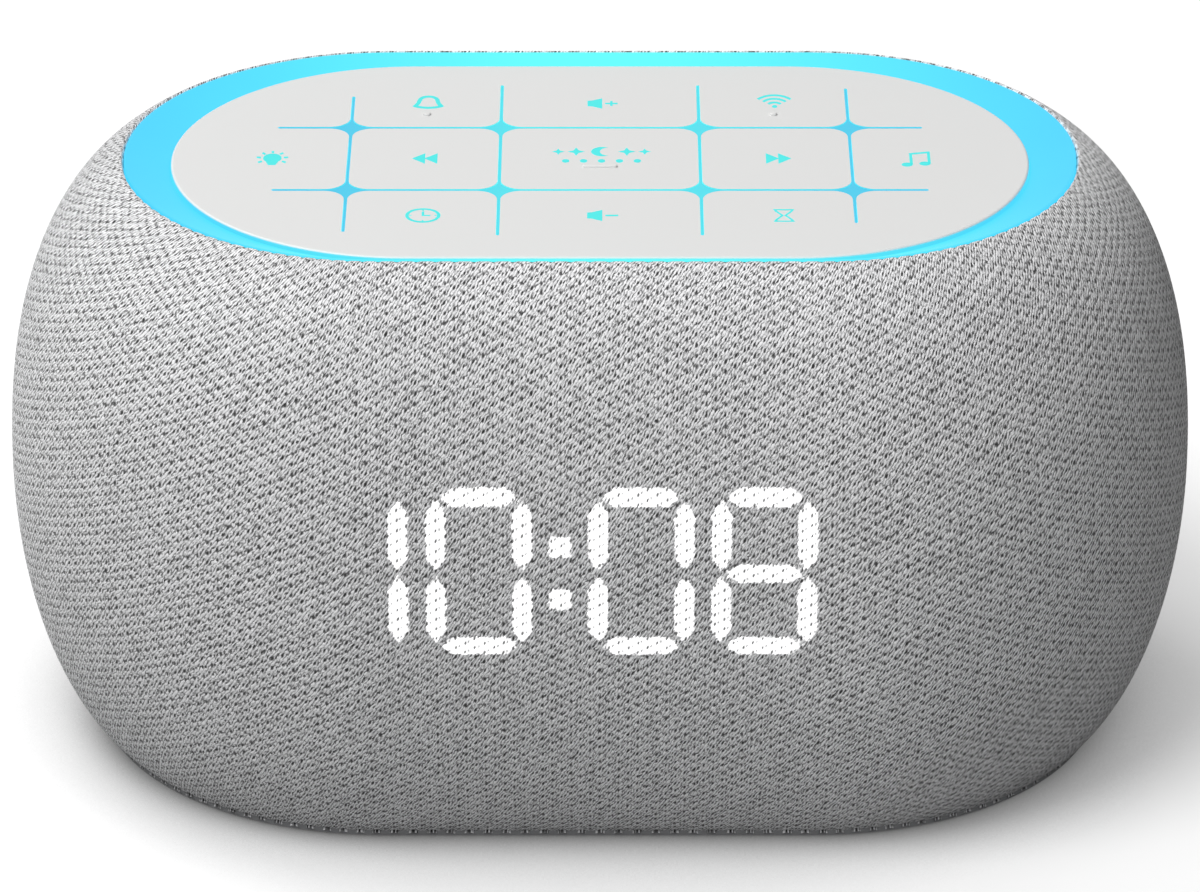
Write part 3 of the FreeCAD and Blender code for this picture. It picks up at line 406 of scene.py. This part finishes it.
def circle(x, y, radius, steps=28):
    return arc(x, y, radius, 0, 360, steps)[:-1]


def stretched(points, x, y, wide, tall):
    """A shape drawn in a unit square round zero, put in place at its size."""
    return [(x + a * wide, y + b * tall) for a, b in points]


bell_shape = (arc(0, 0.12, 0.34, 180, 0, 10) + [(0.39, -0.1), (0.5, -0.3)]
              + arc(0, 0.6, 1.03, -61, -119, 8) + [(-0.5, -0.3), (-0.39, -0.1)])
hourglass_shape = [(-0.36, 0.42), (0.36, 0.42), (0.3, 0.3), (0.06, 0), (0.3, -0.3), (0.36, -0.42),
                   (-0.36, -0.42), (-0.3, -0.3), (-0.06, 0), (-0.3, 0.3)]
cone_shape = [(-0.5, -0.26), (-0.2, -0.28), (0.5, -0.5), (0.5, 0.5), (-0.2, 0.28), (-0.5, 0.26)]
arrow_shape = [(-0.5, 0), (0.5, -0.5), (0.5, 0.5)]
bar_shape = [(-0.5, -0.5), (0.5, -0.5), (0.5, 0.5), (-0.5, 0.5)]
star_shape = [(0, 1), (-0.3, 0.3), (-1, 0), (-0.3, -0.3), (0, -1), (0.3, -0.3), (1, 0), (0.3, 0.3)]


def draw_bell(mesh, x, y):
    add_line(mesh, stretched(bell_shape[::-1], x, y, 3.6, 3.8), 0.6, closed=True)


def draw_speaker(mesh, x, y):
    add_plate(mesh, stretched(cone_shape, x - 1.05, y, 2.0, 3.0))
    add_plate(mesh, stretched(bar_shape, x + 1.2, y, 1.7, 0.4))


def draw_louder(mesh, x, y):
    draw_speaker(mesh, x, y)
    for side in (1, -1):
        add_plate(mesh, stretched(bar_shape, x + 1.2, y + side * 0.45, 0.34, 0.5))


def draw_waves(mesh, x, y):
    add_plate(mesh, circle(x, y - 0.95, 0.36, 16))
    for radius in (1.1, 2.0, 2.9):
        add_line(mesh, arc(x, y - 1.05, radius, 40, 140), 0.42)


def draw_lamp(mesh, x, y):
    bulb = arc(0, 0.1, 0.5, -48, 228, 20) + [(-0.2, -0.66), (0.2, -0.66)]
    add_plate(mesh, stretched(bulb, x, y, 2.5, 1.9))
    for turn in range(-30, 211, 40):
        direction = (math.cos(math.radians(turn)), math.sin(math.radians(turn)))
        add_line(mesh, [(x + 1.55 * direction[0], y + 0.1 + 1.15 * direction[1]),
                        (x + 2.15 * direction[0], y + 0.1 + 1.6 * direction[1])], 0.34)


def draw_back(mesh, x, y, side=1):
    for place in (-0.85, 0.8):
        shape = [(a * side, b) for a, b in arrow_shape]
        add_plate(mesh, stretched(shape if side > 0 else shape[::-1], x + side * place, y, 1.75, 2.7))


def draw_on(mesh, x, y):
    draw_back(mesh, x, y, -1)


def draw_night(mesh, x, y):
    """A plain crescent between small stars, over a row of dots for the lamp's colours."""
    outer = arc(0, 0, 1, 60, 300, 18)
    inner = arc(0.72, 0, 0.93, 249, 111, 14)
    add_plate(mesh, stretched(outer + inner, x + 0.1, y + 1.5, 1.5, 1.3))
    for place, size in ((-5.8, 0.85), (-3.4, 1.15), (3.4, 1.15), (5.8, 0.85)):
        add_plate(mesh, stretched(star_shape, x + place, y + 1.5, size, size))
    for place in range(-2, 3):
        add_plate(mesh, circle(x + place * 2.4, y - 1.1, 0.5, 16))


def draw_notes(mesh, x, y):
    for side, lift in ((-1, 0.0), (1, 0.25)):
        add_plate(mesh, stretched(circle(0, 0, 0.5, 16), x + side * 1.2 - 0.35, y - 1.3 + lift, 1.5, 1.0))
    stems = [(-0.95, -1.35), (-0.95, 1.35), (1.45, 1.75), (1.45, -1.1)]
    add_line(mesh, [(x + along, y + across) for along, across in stems], 0.4)


def draw_clock(mesh, x, y):
    add_line(mesh, circle(x, y, 2.1, 36), closed=True)
    add_line(mesh, [(x, y + 1.25), (x, y), (x + 1.0, y)], 0.34)
    for along, across in ((1, 0), (0, 1), (-1, 0), (0, -1)):
        add_line(mesh, [(x + 1.5 * along, y + 1.5 * across), (x + 1.8 * along, y + 1.8 * across)], 0.22)


def draw_hourglass(mesh, x, y):
    add_line(mesh, stretched(hourglass_shape, x, y, 3.3, 3.8), 0.3, closed=True)


# each sign's drawing, its place, and how much taller than drawn it stands
SIGNS = {
    "alarm": (draw_bell, -23.4, 19.2, 1.16),
    "volume_up": (draw_louder, 0.35, 18.8, 1.2),
    "wireless": (draw_waves, 23.8, 19.1, 1.4),
    "lamp": (draw_lamp, -43.9, -0.2, 1.6),
    "previous": (draw_back, -23.45, 0.0, 1.3),
    "snooze": (draw_night, 0.2, 0.5, 1.2),
    "next": (draw_on, 23.9, 0.0, 1.3),
    "sound": (draw_notes, 42.6, -0.3, 1.35),
    "clock": (draw_clock, -23.3, -18.8, 1.0),
    "volume_down": (draw_speaker, 0.35, -18.8, 1.2),
    "timer": (draw_hourglass, 24.2, -18.8, 1.16),
}


def make_sign(key):
    draw, x, y, taller = SIGNS[key]
    mesh = bmesh.new()
    draw(mesh, x, y)
    for corner in mesh.verts:
        corner.co.y = (y + (corner.co.y / MM - y) * taller) * MM
    bmesh.ops.recalc_face_normals(mesh, faces=mesh.faces)
    data = bpy.data.meshes.new(key + "_sign")
    mesh.to_mesh(data)
    mesh.free()
    piece = bpy.data.objects.new(key + "_sign", data)
    bpy.context.scene.collection.objects.link(piece)
    return piece


# Materials

class Shader:
    """A material whose nodes are added one call at a time."""

    def __init__(self, name):
        self.material = bpy.data.materials.new(name)
        self.material.use_nodes = True
        self.tree = self.material.node_tree
        self.tree.nodes.clear()

    def add(self, kind, **settings):
        node = self.tree.nodes.new(kind)
        for key, value in settings.items():
            setattr(node, key, value)
        return node

    def put(self, socket, value):
        if isinstance(value, bpy.types.NodeSocket):
            self.tree.links.new(value, socket)
        else:
            socket.default_value = value

    def math(self, operation, *values):
        node = self.add("ShaderNodeMath", operation=operation)
        for socket, value in zip(node.inputs, values):
            self.put(socket, value)
        return node.outputs[0]

    def length(self, a, b):
        return self.math("SQRT", self.math("ADD", self.math("MULTIPLY", a, a), self.math("MULTIPLY", b, b)))

    def step(self, value, start, end, low=0.0, high=1.0):
        """A smooth step from low to high as the value goes from start to end."""
        node = self.add("ShaderNodeMapRange", interpolation_type="SMOOTHSTEP")
        for socket, given in zip(node.inputs, (value, start, end, low, high)):
            self.put(socket, given)
        return node.outputs[0]

    def mix(self, share, a, b):
        node = self.add("ShaderNodeMix", data_type="RGBA")
        self.put(node.inputs[0], share)
        self.put(node.inputs[6], a)
        self.put(node.inputs[7], b)
        return node.outputs[2]

    def vector(self, x, y, z=0.0):
        node = self.add("ShaderNodeCombineXYZ")
        for socket, value in zip(node.inputs, (x, y, z)):
            self.put(socket, value)
        return node.outputs[0]

    def split(self, vector):
        node = self.add("ShaderNodeSeparateXYZ")
        self.put(node.inputs[0], vector)
        return node.outputs

    def place(self):
        return self.add("ShaderNodeTexCoord").outputs["Object"]

    def noise(self, vector, scale, detail=2.0, roughness=0.5):
        node = self.add("ShaderNodeTexNoise")
        self.put(node.inputs["Vector"], vector)
        self.put(node.inputs["Scale"], scale)
        self.put(node.inputs["Detail"], detail)
        self.put(node.inputs["Roughness"], roughness)
        return node.outputs[0]

    def scattered(self, across, along, spacing, start, end):
        """Scattered spots, one to a cell of the spacing, of unlike strength."""
        cells = self.add("ShaderNodeTexVoronoi", voronoi_dimensions="2D")
        self.put(cells.inputs["Vector"], self.vector(
            self.math("DIVIDE", across, spacing[0]), self.math("DIVIDE", along, spacing[1])))
        self.put(cells.inputs["Scale"], 1.0)
        self.put(cells.inputs["Randomness"], 0.75)
        strength = self.step(self.split(cells.outputs["Color"])[0], 0.0, 0.7, 0.25, 1.0)
        return self.math("MULTIPLY", self.step(cells.outputs["Distance"], start, end), strength)

    def bump(self, height, distance, strength=1.0):
        node = self.add("ShaderNodeBump")
        self.put(node.inputs["Height"], height)
        self.put(node.inputs["Distance"], distance)
        self.put(node.inputs["Strength"], strength)
        return node.outputs[0]

    def surface(self, **sockets):
        """The principled surface, with its sockets named in words joined by underscores."""
        shader = self.add("ShaderNodeBsdfPrincipled")
        for name, value in sockets.items():
            self.put(shader.inputs[name.replace("_", " ")], value)
        output = self.add("ShaderNodeOutputMaterial")
        self.tree.links.new(shader.outputs[0], output.inputs[0])
        return self.material


def linear(red, green, blue):
    """A display colour, 0 to 255, as the linear colour that shaders use."""
    values = [value / 255 for value in (red, green, blue)]
    return tuple(v / 12.92 if v <= 0.04045 else ((v + 0.055) / 1.055) ** 2.4 for v in values) + (1.0,)


# The knit's pattern, in millimetres on the knit; its shares are of a column and a stitch
hole_half_width = 0.16
hole_half_height = 0.3
mark_half_width = 0.12
mark_half_height = 0.21
mark_places = ((0.63, 0.32), (0.37, 0.8))
hole_slant = 0.4
hole_jitter = 0.08
hole_size_least = 0.85
hole_size_spread = 0.4
rise_half_width = 0.42
rise_half_height = 0.3
filament_angle = 60.0
slit_spacing = (0.5, 0.75)
strand_width = 0.3
strand_length = 0.7
strand_pitch = 0.4
strand_waver = 1.5
stitch_shift = 0.35
stroke_depth = 1.35
knit_tone = 0.81
tone_least, tone_most = 0.03, 0.97
slit_dark, mark_dark, hole_dark = 0.3, 0.75, 0.92
slit_drop, hole_drop = 0.6, 1.2
knit_relief = 0.14
light_ragged = 0.9
hole_veil, mark_veil = 0.85, 0.6


def pinholes(s, u, v, wide, tall):
    """Leaning pinholes, one to a stitch: how far a place is from one, in its sizes, and from its stitch."""
    column = s.math("FLOOR", s.math("ADD", u, 0.5))
    off_column = s.math("SUBTRACT", u, column)
    odd = s.math("FLOORED_MODULO", column, 2.0)
    stitch_place = s.math("ADD", v, s.math("MULTIPLY", odd, 0.5))
    stitch = s.math("FLOOR", s.math("ADD", stitch_place, 0.5))
    off_stitch = s.math("SUBTRACT", stitch_place, stitch)
    chance = s.add("ShaderNodeTexWhiteNoise", noise_dimensions="2D")
    s.put(chance.inputs["Vector"], s.vector(column, stitch))
    jitter_x, jitter_y, jitter_size = s.split(chance.outputs["Color"])
    down = s.math("DIVIDE", s.math("MULTIPLY", s.math("MULTIPLY_ADD", jitter_y, hole_jitter, off_stitch),
                                   stitch_height), tall)
    side = s.math("DIVIDE", s.math("MULTIPLY", s.math("MULTIPLY_ADD", jitter_x, hole_jitter, off_column),
                                   column_width), wide)
    side = s.math("SUBTRACT", side, s.math("MULTIPLY", down, hole_slant))
    size = s.math("MULTIPLY_ADD", jitter_size, hole_size_spread, hole_size_least)
    distance = s.math("DIVIDE", s.length(side, down), size)
    return distance, off_column, off_stitch, jitter_size


def knit_material():
    """Grey knit: slanted filaments, pinholes at and beside every stitch, and the display's light behind."""
    s = Shader("grey_knit")
    u, v, _ = s.split(s.add("ShaderNodeUVMap", uv_map="knit").outputs[0])
    distance, off_column, off_stitch, chance = pinholes(s, u, v, hole_half_width, hole_half_height)
    hole = s.step(distance, 1.35, 0.45)
    marks = []
    for aside, lower in mark_places:
        beside = pinholes(s, s.math("ADD", u, aside), s.math("ADD", v, lower),
                          mark_half_width, mark_half_height)
        marks.append(s.step(beside[0], 1.4, 0.4))
    mark = s.math("MAXIMUM", *marks)

    # the raised, smoother part of each stitch, between two pinholes of a column
    from_middle = s.math("SUBTRACT", s.math("ABSOLUTE", off_stitch), 0.5)
    rise = s.step(s.length(s.math("DIVIDE", off_column, rise_half_width),
                           s.math("DIVIDE", from_middle, rise_half_height)), 1.3, 0.3)

    # filaments, slanted to the upper right: dark slits and bright strokes between them
    x, y = s.math("MULTIPLY", u, column_width), s.math("MULTIPLY", v, stitch_height)
    lean = math.radians(filament_angle)
    sine, cosine = math.sin(lean), math.cos(lean)
    across = s.math("SUBTRACT", s.math("MULTIPLY", x, sine), s.math("MULTIPLY", y, cosine))
    along = s.math("ADD", s.math("MULTIPLY", x, cosine), s.math("MULTIPLY", y, sine))
    slit = s.scattered(across, along, slit_spacing, 0.36, 0.16)
    strand = s.noise(s.vector(s.math("DIVIDE", across, strand_width),
                              s.math("DIVIDE", along, strand_length)), 1.0, 1.0, 0.5)
    turns = s.math("MULTIPLY_ADD", strand, strand_waver, s.math("DIVIDE", across, strand_pitch))
    turns = s.math("MULTIPLY_ADD", chance, stitch_shift, turns)
    wave = s.math("SINE", s.math("MULTIPLY", turns, 2 * math.pi))
    stroke = s.math("MULTIPLY_ADD", wave, 0.5, 0.5)
    calm = s.math("MULTIPLY_ADD", rise, -0.6, s.step(strand, 0.3, 0.7, 0.7, 1.2))

    tone = s.math("MULTIPLY", calm, stroke_depth)
    tone = s.math("MULTIPLY_ADD", s.math("SUBTRACT", stroke, 0.5), tone, knit_tone)
    for dark, depth in ((slit, slit_dark), (mark, mark_dark), (hole, hole_dark)):
        tone = s.math("MULTIPLY", tone, s.math("MULTIPLY_ADD", dark, -depth, 1.0))
    tone = s.math("MINIMUM", s.math("MAXIMUM", tone, tone_least), tone_most)
    colour = s.vector(tone, tone, s.math("MULTIPLY", tone, 1.015))

    height = s.math("MULTIPLY_ADD", rise, 0.5, s.math("MULTIPLY", stroke, 0.5))
    height = s.math("MULTIPLY_ADD", slit, -slit_drop, height)
    height = s.math("MULTIPLY_ADD", hole, -hole_drop, height)
    normal = s.bump(height, knit_relief * MM, 0.7)

    # the display shines through: its edge is ragged along the filaments
    depth = s.add("ShaderNodeAttribute", attribute_name="light_depth").outputs["Fac"]
    ragged = s.math("MULTIPLY_ADD", s.math("SUBTRACT", strand, 0.5), light_ragged, depth)
    lit = s.step(ragged, -0.04, 0.2)
    veil = s.math("MULTIPLY", s.math("MULTIPLY_ADD", s.step(distance, 1.1, 0.45), -hole_veil, 1.0),
                  s.math("MULTIPLY_ADD", marks[0], -mark_veil, 1.0))
    glow = s.math("MULTIPLY", lit, veil)
    light = s.vector(glow, glow, glow)
    return s.surface(Base_Color=colour, Roughness=0.85, Normal=normal, Sheen_Weight=0.25,
                     Sheen_Roughness=0.5, Specular_IOR_Level=0.2, Emission_Color=light,
                     Emission_Strength=0.95)


def glow_colour(s, middle, end, reach):
    """A light's colour, which shifts from the middle of the clock to its ends."""
    share = s.step(s.math("ABSOLUTE", s.split(s.place())[0]), 0.0, reach * MM)
    cloud = s.noise(s.place(), 90.0, 2.0)
    share = s.math("MULTIPLY_ADD", s.math("SUBTRACT", cloud, 0.5), 0.08, share)
    return s.mix(share, middle, end)


def glow_material(name, middle, end, reach, strength=1.0):
    """A lit diffuser in its light's colour, with a faint grain."""
    s = Shader(name)
    colour = glow_colour(s, middle, end, reach)
    return s.surface(Base_Color=GLOW_BASE, Roughness=0.5, Emission_Color=colour,
                     Emission_Strength=strength, Specular_IOR_Level=0.1,
                     Normal=s.bump(s.noise(s.place(), 2500.0), 0.01 * MM, 0.3))


def plastic_material(name, colour, roughness, grain=2200.0, relief=0.012, tint=0.05, painted_ring_light_below=None):
    """Moulded plastic with a fine spark-eroded grain and a faint cloud of wear in its gloss.

    Its upright sides below the given height carry painted light: the cyan that the ring and the slits shed
    on them is painted in, as a near-black colour with the ring's glow as emission.
    """
    s = Shader(name)
    grainy = s.noise(s.place(), grain, 3.0, 0.6)
    cloud = s.noise(s.place(), 45.0, 3.0, 0.5)
    darker = tuple(c * (1 - tint) for c in colour[:3]) + (1.0,)
    shade = s.mix(cloud, darker, colour)
    gloss = s.math("MULTIPLY_ADD", cloud, 0.12, roughness - 0.06)
    lit = {}
    if painted_ring_light_below:
        # painted ring light on the upright sides: their colour goes near black and they glow in the ring's
        # cyan
        up = s.split(s.add("ShaderNodeTexCoord").outputs["Normal"])[2]
        height = s.split(s.place())[2]
        side = s.math("MULTIPLY", s.step(s.math("ABSOLUTE", up), 0.8, 0.3),
                      s.step(height, painted_ring_light_below * MM, (painted_ring_light_below - PAINTED_RING_LIGHT_FADE) * MM))
        shade = s.mix(side, shade, GLOW_BASE)
        light = s.mix(side, (0, 0, 0, 1), glow_colour(s, RING_MIDDLE, RING_END, RING_REACH))
        lit = {"Emission_Color": light, "Emission_Strength": PAINTED_RING_LIGHT_STRENGTH}
    return s.surface(Base_Color=shade, Roughness=gloss, Normal=s.bump(grainy, relief * MM, 0.6), **lit)


def metal_material(name, colour, roughness, stretch=(1.0, 1.0, 12.0)):
    """Bare metal with fine drawn lines and small stains."""
    s = Shader(name)
    x, y, z = s.split(s.place())
    lines = s.noise(s.vector(*(s.math("MULTIPLY", value, 900.0 * times)
                               for value, times in zip((x, y, z), stretch))), 1.0, 3.0)
    stain = s.noise(s.place(), 120.0, 4.0)
    darker = tuple(c * 0.8 for c in colour[:3]) + (1.0,)
    return s.surface(Base_Color=s.mix(stain, darker, colour), Metallic=1.0,
                     Roughness=s.math("MULTIPLY_ADD", lines, 0.18, roughness - 0.09),
                     Normal=s.bump(lines, 0.004 * MM, 0.4))


def board_material(name, colour):
    """Circuit board: copper runs under a coloured mask, with tinned rings."""
    s = Shader(name)
    x, y, z = s.split(s.place())
    grid = s.add("ShaderNodeTexBrick")
    s.put(grid.inputs["Vector"], s.vector(x, s.math("ADD", y, z)))
    s.put(grid.inputs["Scale"], 160.0)
    s.put(grid.inputs["Mortar Size"], 0.06)
    s.put(grid.inputs["Color1"], (0, 0, 0, 1))
    s.put(grid.inputs["Color2"], (0, 0, 0, 1))
    s.put(grid.inputs["Mortar"], (1, 1, 1, 1))
    runs = s.math("MULTIPLY", grid.outputs["Fac"], s.step(s.noise(s.place(), 60.0), 0.45, 0.5))
    lighter = tuple(min(1.0, c * 1.9 + 0.01) for c in colour[:3]) + (1.0,)
    return s.surface(Base_Color=s.mix(runs, colour, lighter), Roughness=0.35,
                     Normal=s.bump(runs, 0.03 * MM, 0.5), Coat_Weight=0.3, Coat_Roughness=0.2)


def rubber_material(name, colour):
    s = Shader(name)
    pores = s.noise(s.place(), 1500.0, 4.0, 0.7)
    dust = s.noise(s.place(), 70.0, 3.0)
    lighter = tuple(min(1.0, c * 1.7 + 0.01) for c in colour[:3]) + (1.0,)
    return s.surface(Base_Color=s.mix(s.step(dust, 0.4, 0.75), colour, lighter), Roughness=0.8,
                     Normal=s.bump(pores, 0.03 * MM, 0.6), Specular_IOR_Level=0.3)


def paper_material(name, colour, fibre=700.0):
    """Pressed fibre, as in a speaker cone or a foam ring."""
    s = Shader(name)
    fibres = s.noise(s.place(), fibre, 6.0, 0.75)
    return s.surface(Base_Color=s.mix(fibres, tuple(c * 0.6 for c in colour[:3]) + (1.0,), colour),
                     Roughness=0.95, Normal=s.bump(fibres, 0.06 * MM, 0.7), Specular_IOR_Level=0.2)


RING_MIDDLE, RING_END = linear(98, 252, 255), linear(68, 206, 254)
RING_REACH = 76.0
GLOW_BASE = (0.01, 0.02, 0.02, 1)
# strength and height fade of the painted ring light on the keys' upright sides
PAINTED_RING_LIGHT_STRENGTH = 0.9
PAINTED_RING_LIGHT_FADE = 0.03
GRID_MIDDLE, GRID_END = linear(76, 226, 234), linear(68, 194, 232)
SIGN_COLOUR = linear(70, 230, 228)
WHITE_KEY = linear(219, 219, 218)
SHELL_GREY = linear(60, 62, 65)
BASE_GREY = linear(150, 151, 153)
BOARD_GREEN = linear(18, 74, 46)


def slot_materials():
    """One material for each slot of the record."""
    return {
        "grey_knit": knit_material(),
        "shell_plastic": plastic_material("shell_plastic", SHELL_GREY, 0.55),
        "base_plastic": plastic_material("base_plastic", BASE_GREY, 0.5),
        "foot_rubber": rubber_material("foot_rubber", linear(38, 38, 40)),
        "screw_steel": metal_material("screw_steel", (0.42, 0.42, 0.43, 1), 0.35),
        "ring_glow": glow_material("ring_glow", RING_MIDDLE, RING_END, RING_REACH),
        "key_plastic": plastic_material("key_plastic", WHITE_KEY, 0.42, tint=0.012, relief=0.006,
                                        painted_ring_light_below=plate_top),
        "grid_glow": glow_material("grid_glow", GRID_MIDDLE, GRID_END, 44.0),
        "white_plastic": plastic_material("white_plastic", linear(225, 225, 222), 0.5),
        "board_green": board_material("board_green", BOARD_GREEN),
        "led_white": plastic_material("led_white", linear(236, 232, 205), 0.3),
        "black_plastic": plastic_material("black_plastic", linear(30, 30, 32), 0.5),
        "segment_glow": glow_material("segment_glow", (1, 1, 1, 1), (0.95, 0.97, 1, 1), 40.0),
        "basket_steel": metal_material("basket_steel", (0.5, 0.51, 0.52, 1), 0.4),
        "magnet_ferrite": paper_material("magnet_ferrite", linear(58, 58, 60), 900.0),
        "surround_rubber": rubber_material("surround_rubber", linear(26, 26, 27)),
        "gasket_foam": paper_material("gasket_foam", linear(44, 44, 46), 1200.0),
        "cone_paper": paper_material("cone_paper", linear(52, 50, 48)),
        "lead_copper": metal_material("lead_copper", (0.72, 0.38, 0.2, 1), 0.3),
        "cell_steel": metal_material("cell_steel", (0.6, 0.6, 0.6, 1), 0.25, (1.0, 10.0, 1.0)),
        "inlet_steel": metal_material("inlet_steel", (0.62, 0.62, 0.63, 1), 0.28),
        "bezel_plastic": plastic_material("bezel_plastic", linear(70, 72, 75), 0.42),
        "ribbon_film": plastic_material("ribbon_film", linear(176, 120, 52), 0.25),
        "plunger_plastic": plastic_material("plunger_plastic", linear(48, 48, 50), 0.35),
    }


def dress_nodes(materials):
    """Every carried-over piece gets the material of its slot in the record."""
    slots = {part["node"]: part["material_slot"] for part in frame["record"]["subparts"]}
    for name, piece in frame["nodes"].items():
        piece.data.materials.clear()
        piece.data.materials.append(materials[slots[name]])


# Stage: floor, light and camera

camera_distance = 850.2
camera_height = 450.7
camera_tilt = 64.14
lens_mm = 207.4
floor_half = 3000.0
floor_gap = 0.02
camera_sight = 20.0
floor_tone = 0.68
floor_tone_to_light = 0.32
floor_lift = 0.48
floor_shade_reach = 0.08
world_glow = 0.02
lamp_distance = 1.6
lamp_size = 0.9
lamp_aim = 0.04
# each lamp's turn and rise in degrees, and its watts
STUDIO_LAMPS = (
    ("key_lamp", 225, 60, 19.4),
    ("front_lamp", 270, 40, 4.1),
    ("low_lamp", 270, 15, 1.7),
    ("rear_lamp", 135, 50, 9.0),
)


def grey(tone):
    return tone, tone, tone, 1


def make_floor():
    """White paper where it is seen, with a painted shadow that greys it near the clock, and a plain grey to
    the light it throws back.
    """
    low = -floor_gap
    corners = [(-floor_half, -floor_half, low), (floor_half, -floor_half, low),
               (floor_half, floor_half, low), (-floor_half, floor_half, low)]
    floor = new_mesh_object("floor", corners, [(0, 1, 2, 3)], smooth=False)
    s = Shader("floor_paper")
    path = s.add("ShaderNodeLightPath")
    seen = s.math("MAXIMUM", path.outputs["Is Camera Ray"], path.outputs["Is Glossy Ray"])
    seen = s.math("MAXIMUM", seen, path.outputs["Is Transmission Ray"])
    # painted contact shadow: ambient occlusion greys the floor's colour and its white lift near the clock
    near = s.add("ShaderNodeAmbientOcclusion", samples=8)
    s.put(near.inputs["Distance"], floor_shade_reach)
    painted_shadow_factor = s.step(near.outputs["AO"], 0.0, 0.85, 0.15, 1.0)
    shade = s.mix(seen, grey(floor_tone_to_light), s.mix(painted_shadow_factor, grey(0), grey(floor_tone)))
    lift = s.math("MULTIPLY", s.math("MULTIPLY", seen, painted_shadow_factor), floor_lift)
    floor.data.materials.append(s.surface(Base_Color=shade, Roughness=0.9, Specular_IOR_Level=0.0,
                                          Emission_Color=(1, 1, 1, 1), Emission_Strength=lift))


def make_world():
    """White where it is seen, and nearly dark as a light."""
    world = bpy.data.worlds.new("studio")
    bpy.context.scene.world = world
    world.use_nodes = True
    tree = world.node_tree
    tree.nodes.clear()
    path = tree.nodes.new("ShaderNodeLightPath")
    joined = path.outputs["Is Camera Ray"]
    for ray in ("Is Glossy Ray", "Is Transmission Ray"):
        larger = tree.nodes.new("ShaderNodeMath")
        larger.operation = "MAXIMUM"
        tree.links.new(joined, larger.inputs[0])
        tree.links.new(path.outputs[ray], larger.inputs[1])
        joined = larger.outputs[0]
    mix = tree.nodes.new("ShaderNodeMix")
    mix.data_type = "RGBA"
    tree.links.new(joined, mix.inputs[0])
    mix.inputs[6].default_value = grey(world_glow)
    mix.inputs[7].default_value = grey(1)
    back = tree.nodes.new("ShaderNodeBackground")
    tree.links.new(mix.outputs[2], back.inputs[0])
    out = tree.nodes.new("ShaderNodeOutputWorld")
    tree.links.new(back.outputs[0], out.inputs[0])


def make_lamp(name, place, target, watts):
    light = bpy.data.lights.new(name, "AREA")
    light.shape = "DISK"
    light.size = lamp_size
    light.energy = watts
    lamp = bpy.data.objects.new(name, light)
    lamp.location = place
    lamp.rotation_euler = (Vector(target) - Vector(place)).to_track_quat("-Z", "Y").to_euler()
    bpy.context.scene.collection.objects.link(lamp)


def make_camera():
    data = bpy.data.cameras.new("camera")
    data.sensor_fit = "HORIZONTAL"
    data.lens = lens_mm
    data.clip_end = camera_sight
    camera = bpy.data.objects.new("camera", data)
    camera.location = (0, -camera_distance * MM, camera_height * MM)
    camera.rotation_euler = (math.radians(camera_tilt), 0, 0)
    bpy.context.scene.collection.objects.link(camera)
    bpy.context.scene.camera = camera


def make_stage():
    make_floor()
    make_world()
    for name, turn, rise, watts in STUDIO_LAMPS:
        turn, rise = math.radians(turn), math.radians(rise)
        level = lamp_distance * math.cos(rise)
        place = (level * math.cos(turn), level * math.sin(turn), lamp_aim + lamp_distance * math.sin(rise))
        make_lamp(name, place, (0, 0, lamp_aim), watts)
    make_camera()
    bpy.context.scene.view_settings.view_transform = "Standard"


def main():
    make_stage()
    materials = slot_materials()
    dress_nodes(materials)
    knit, lengths = make_knit()
    knit.data.materials.append(materials["grey_knit"])
    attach(knit, "clock_body")
    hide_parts("fabric_sleeve")
    sign_material = glow_material("sign_glow", SIGN_COLOUR, SIGN_COLOUR, 60.0)
    for key in SIGNS:
        sign = make_sign(key)
        sign.data.materials.append(sign_material)
        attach(sign, key + "_button")


main()
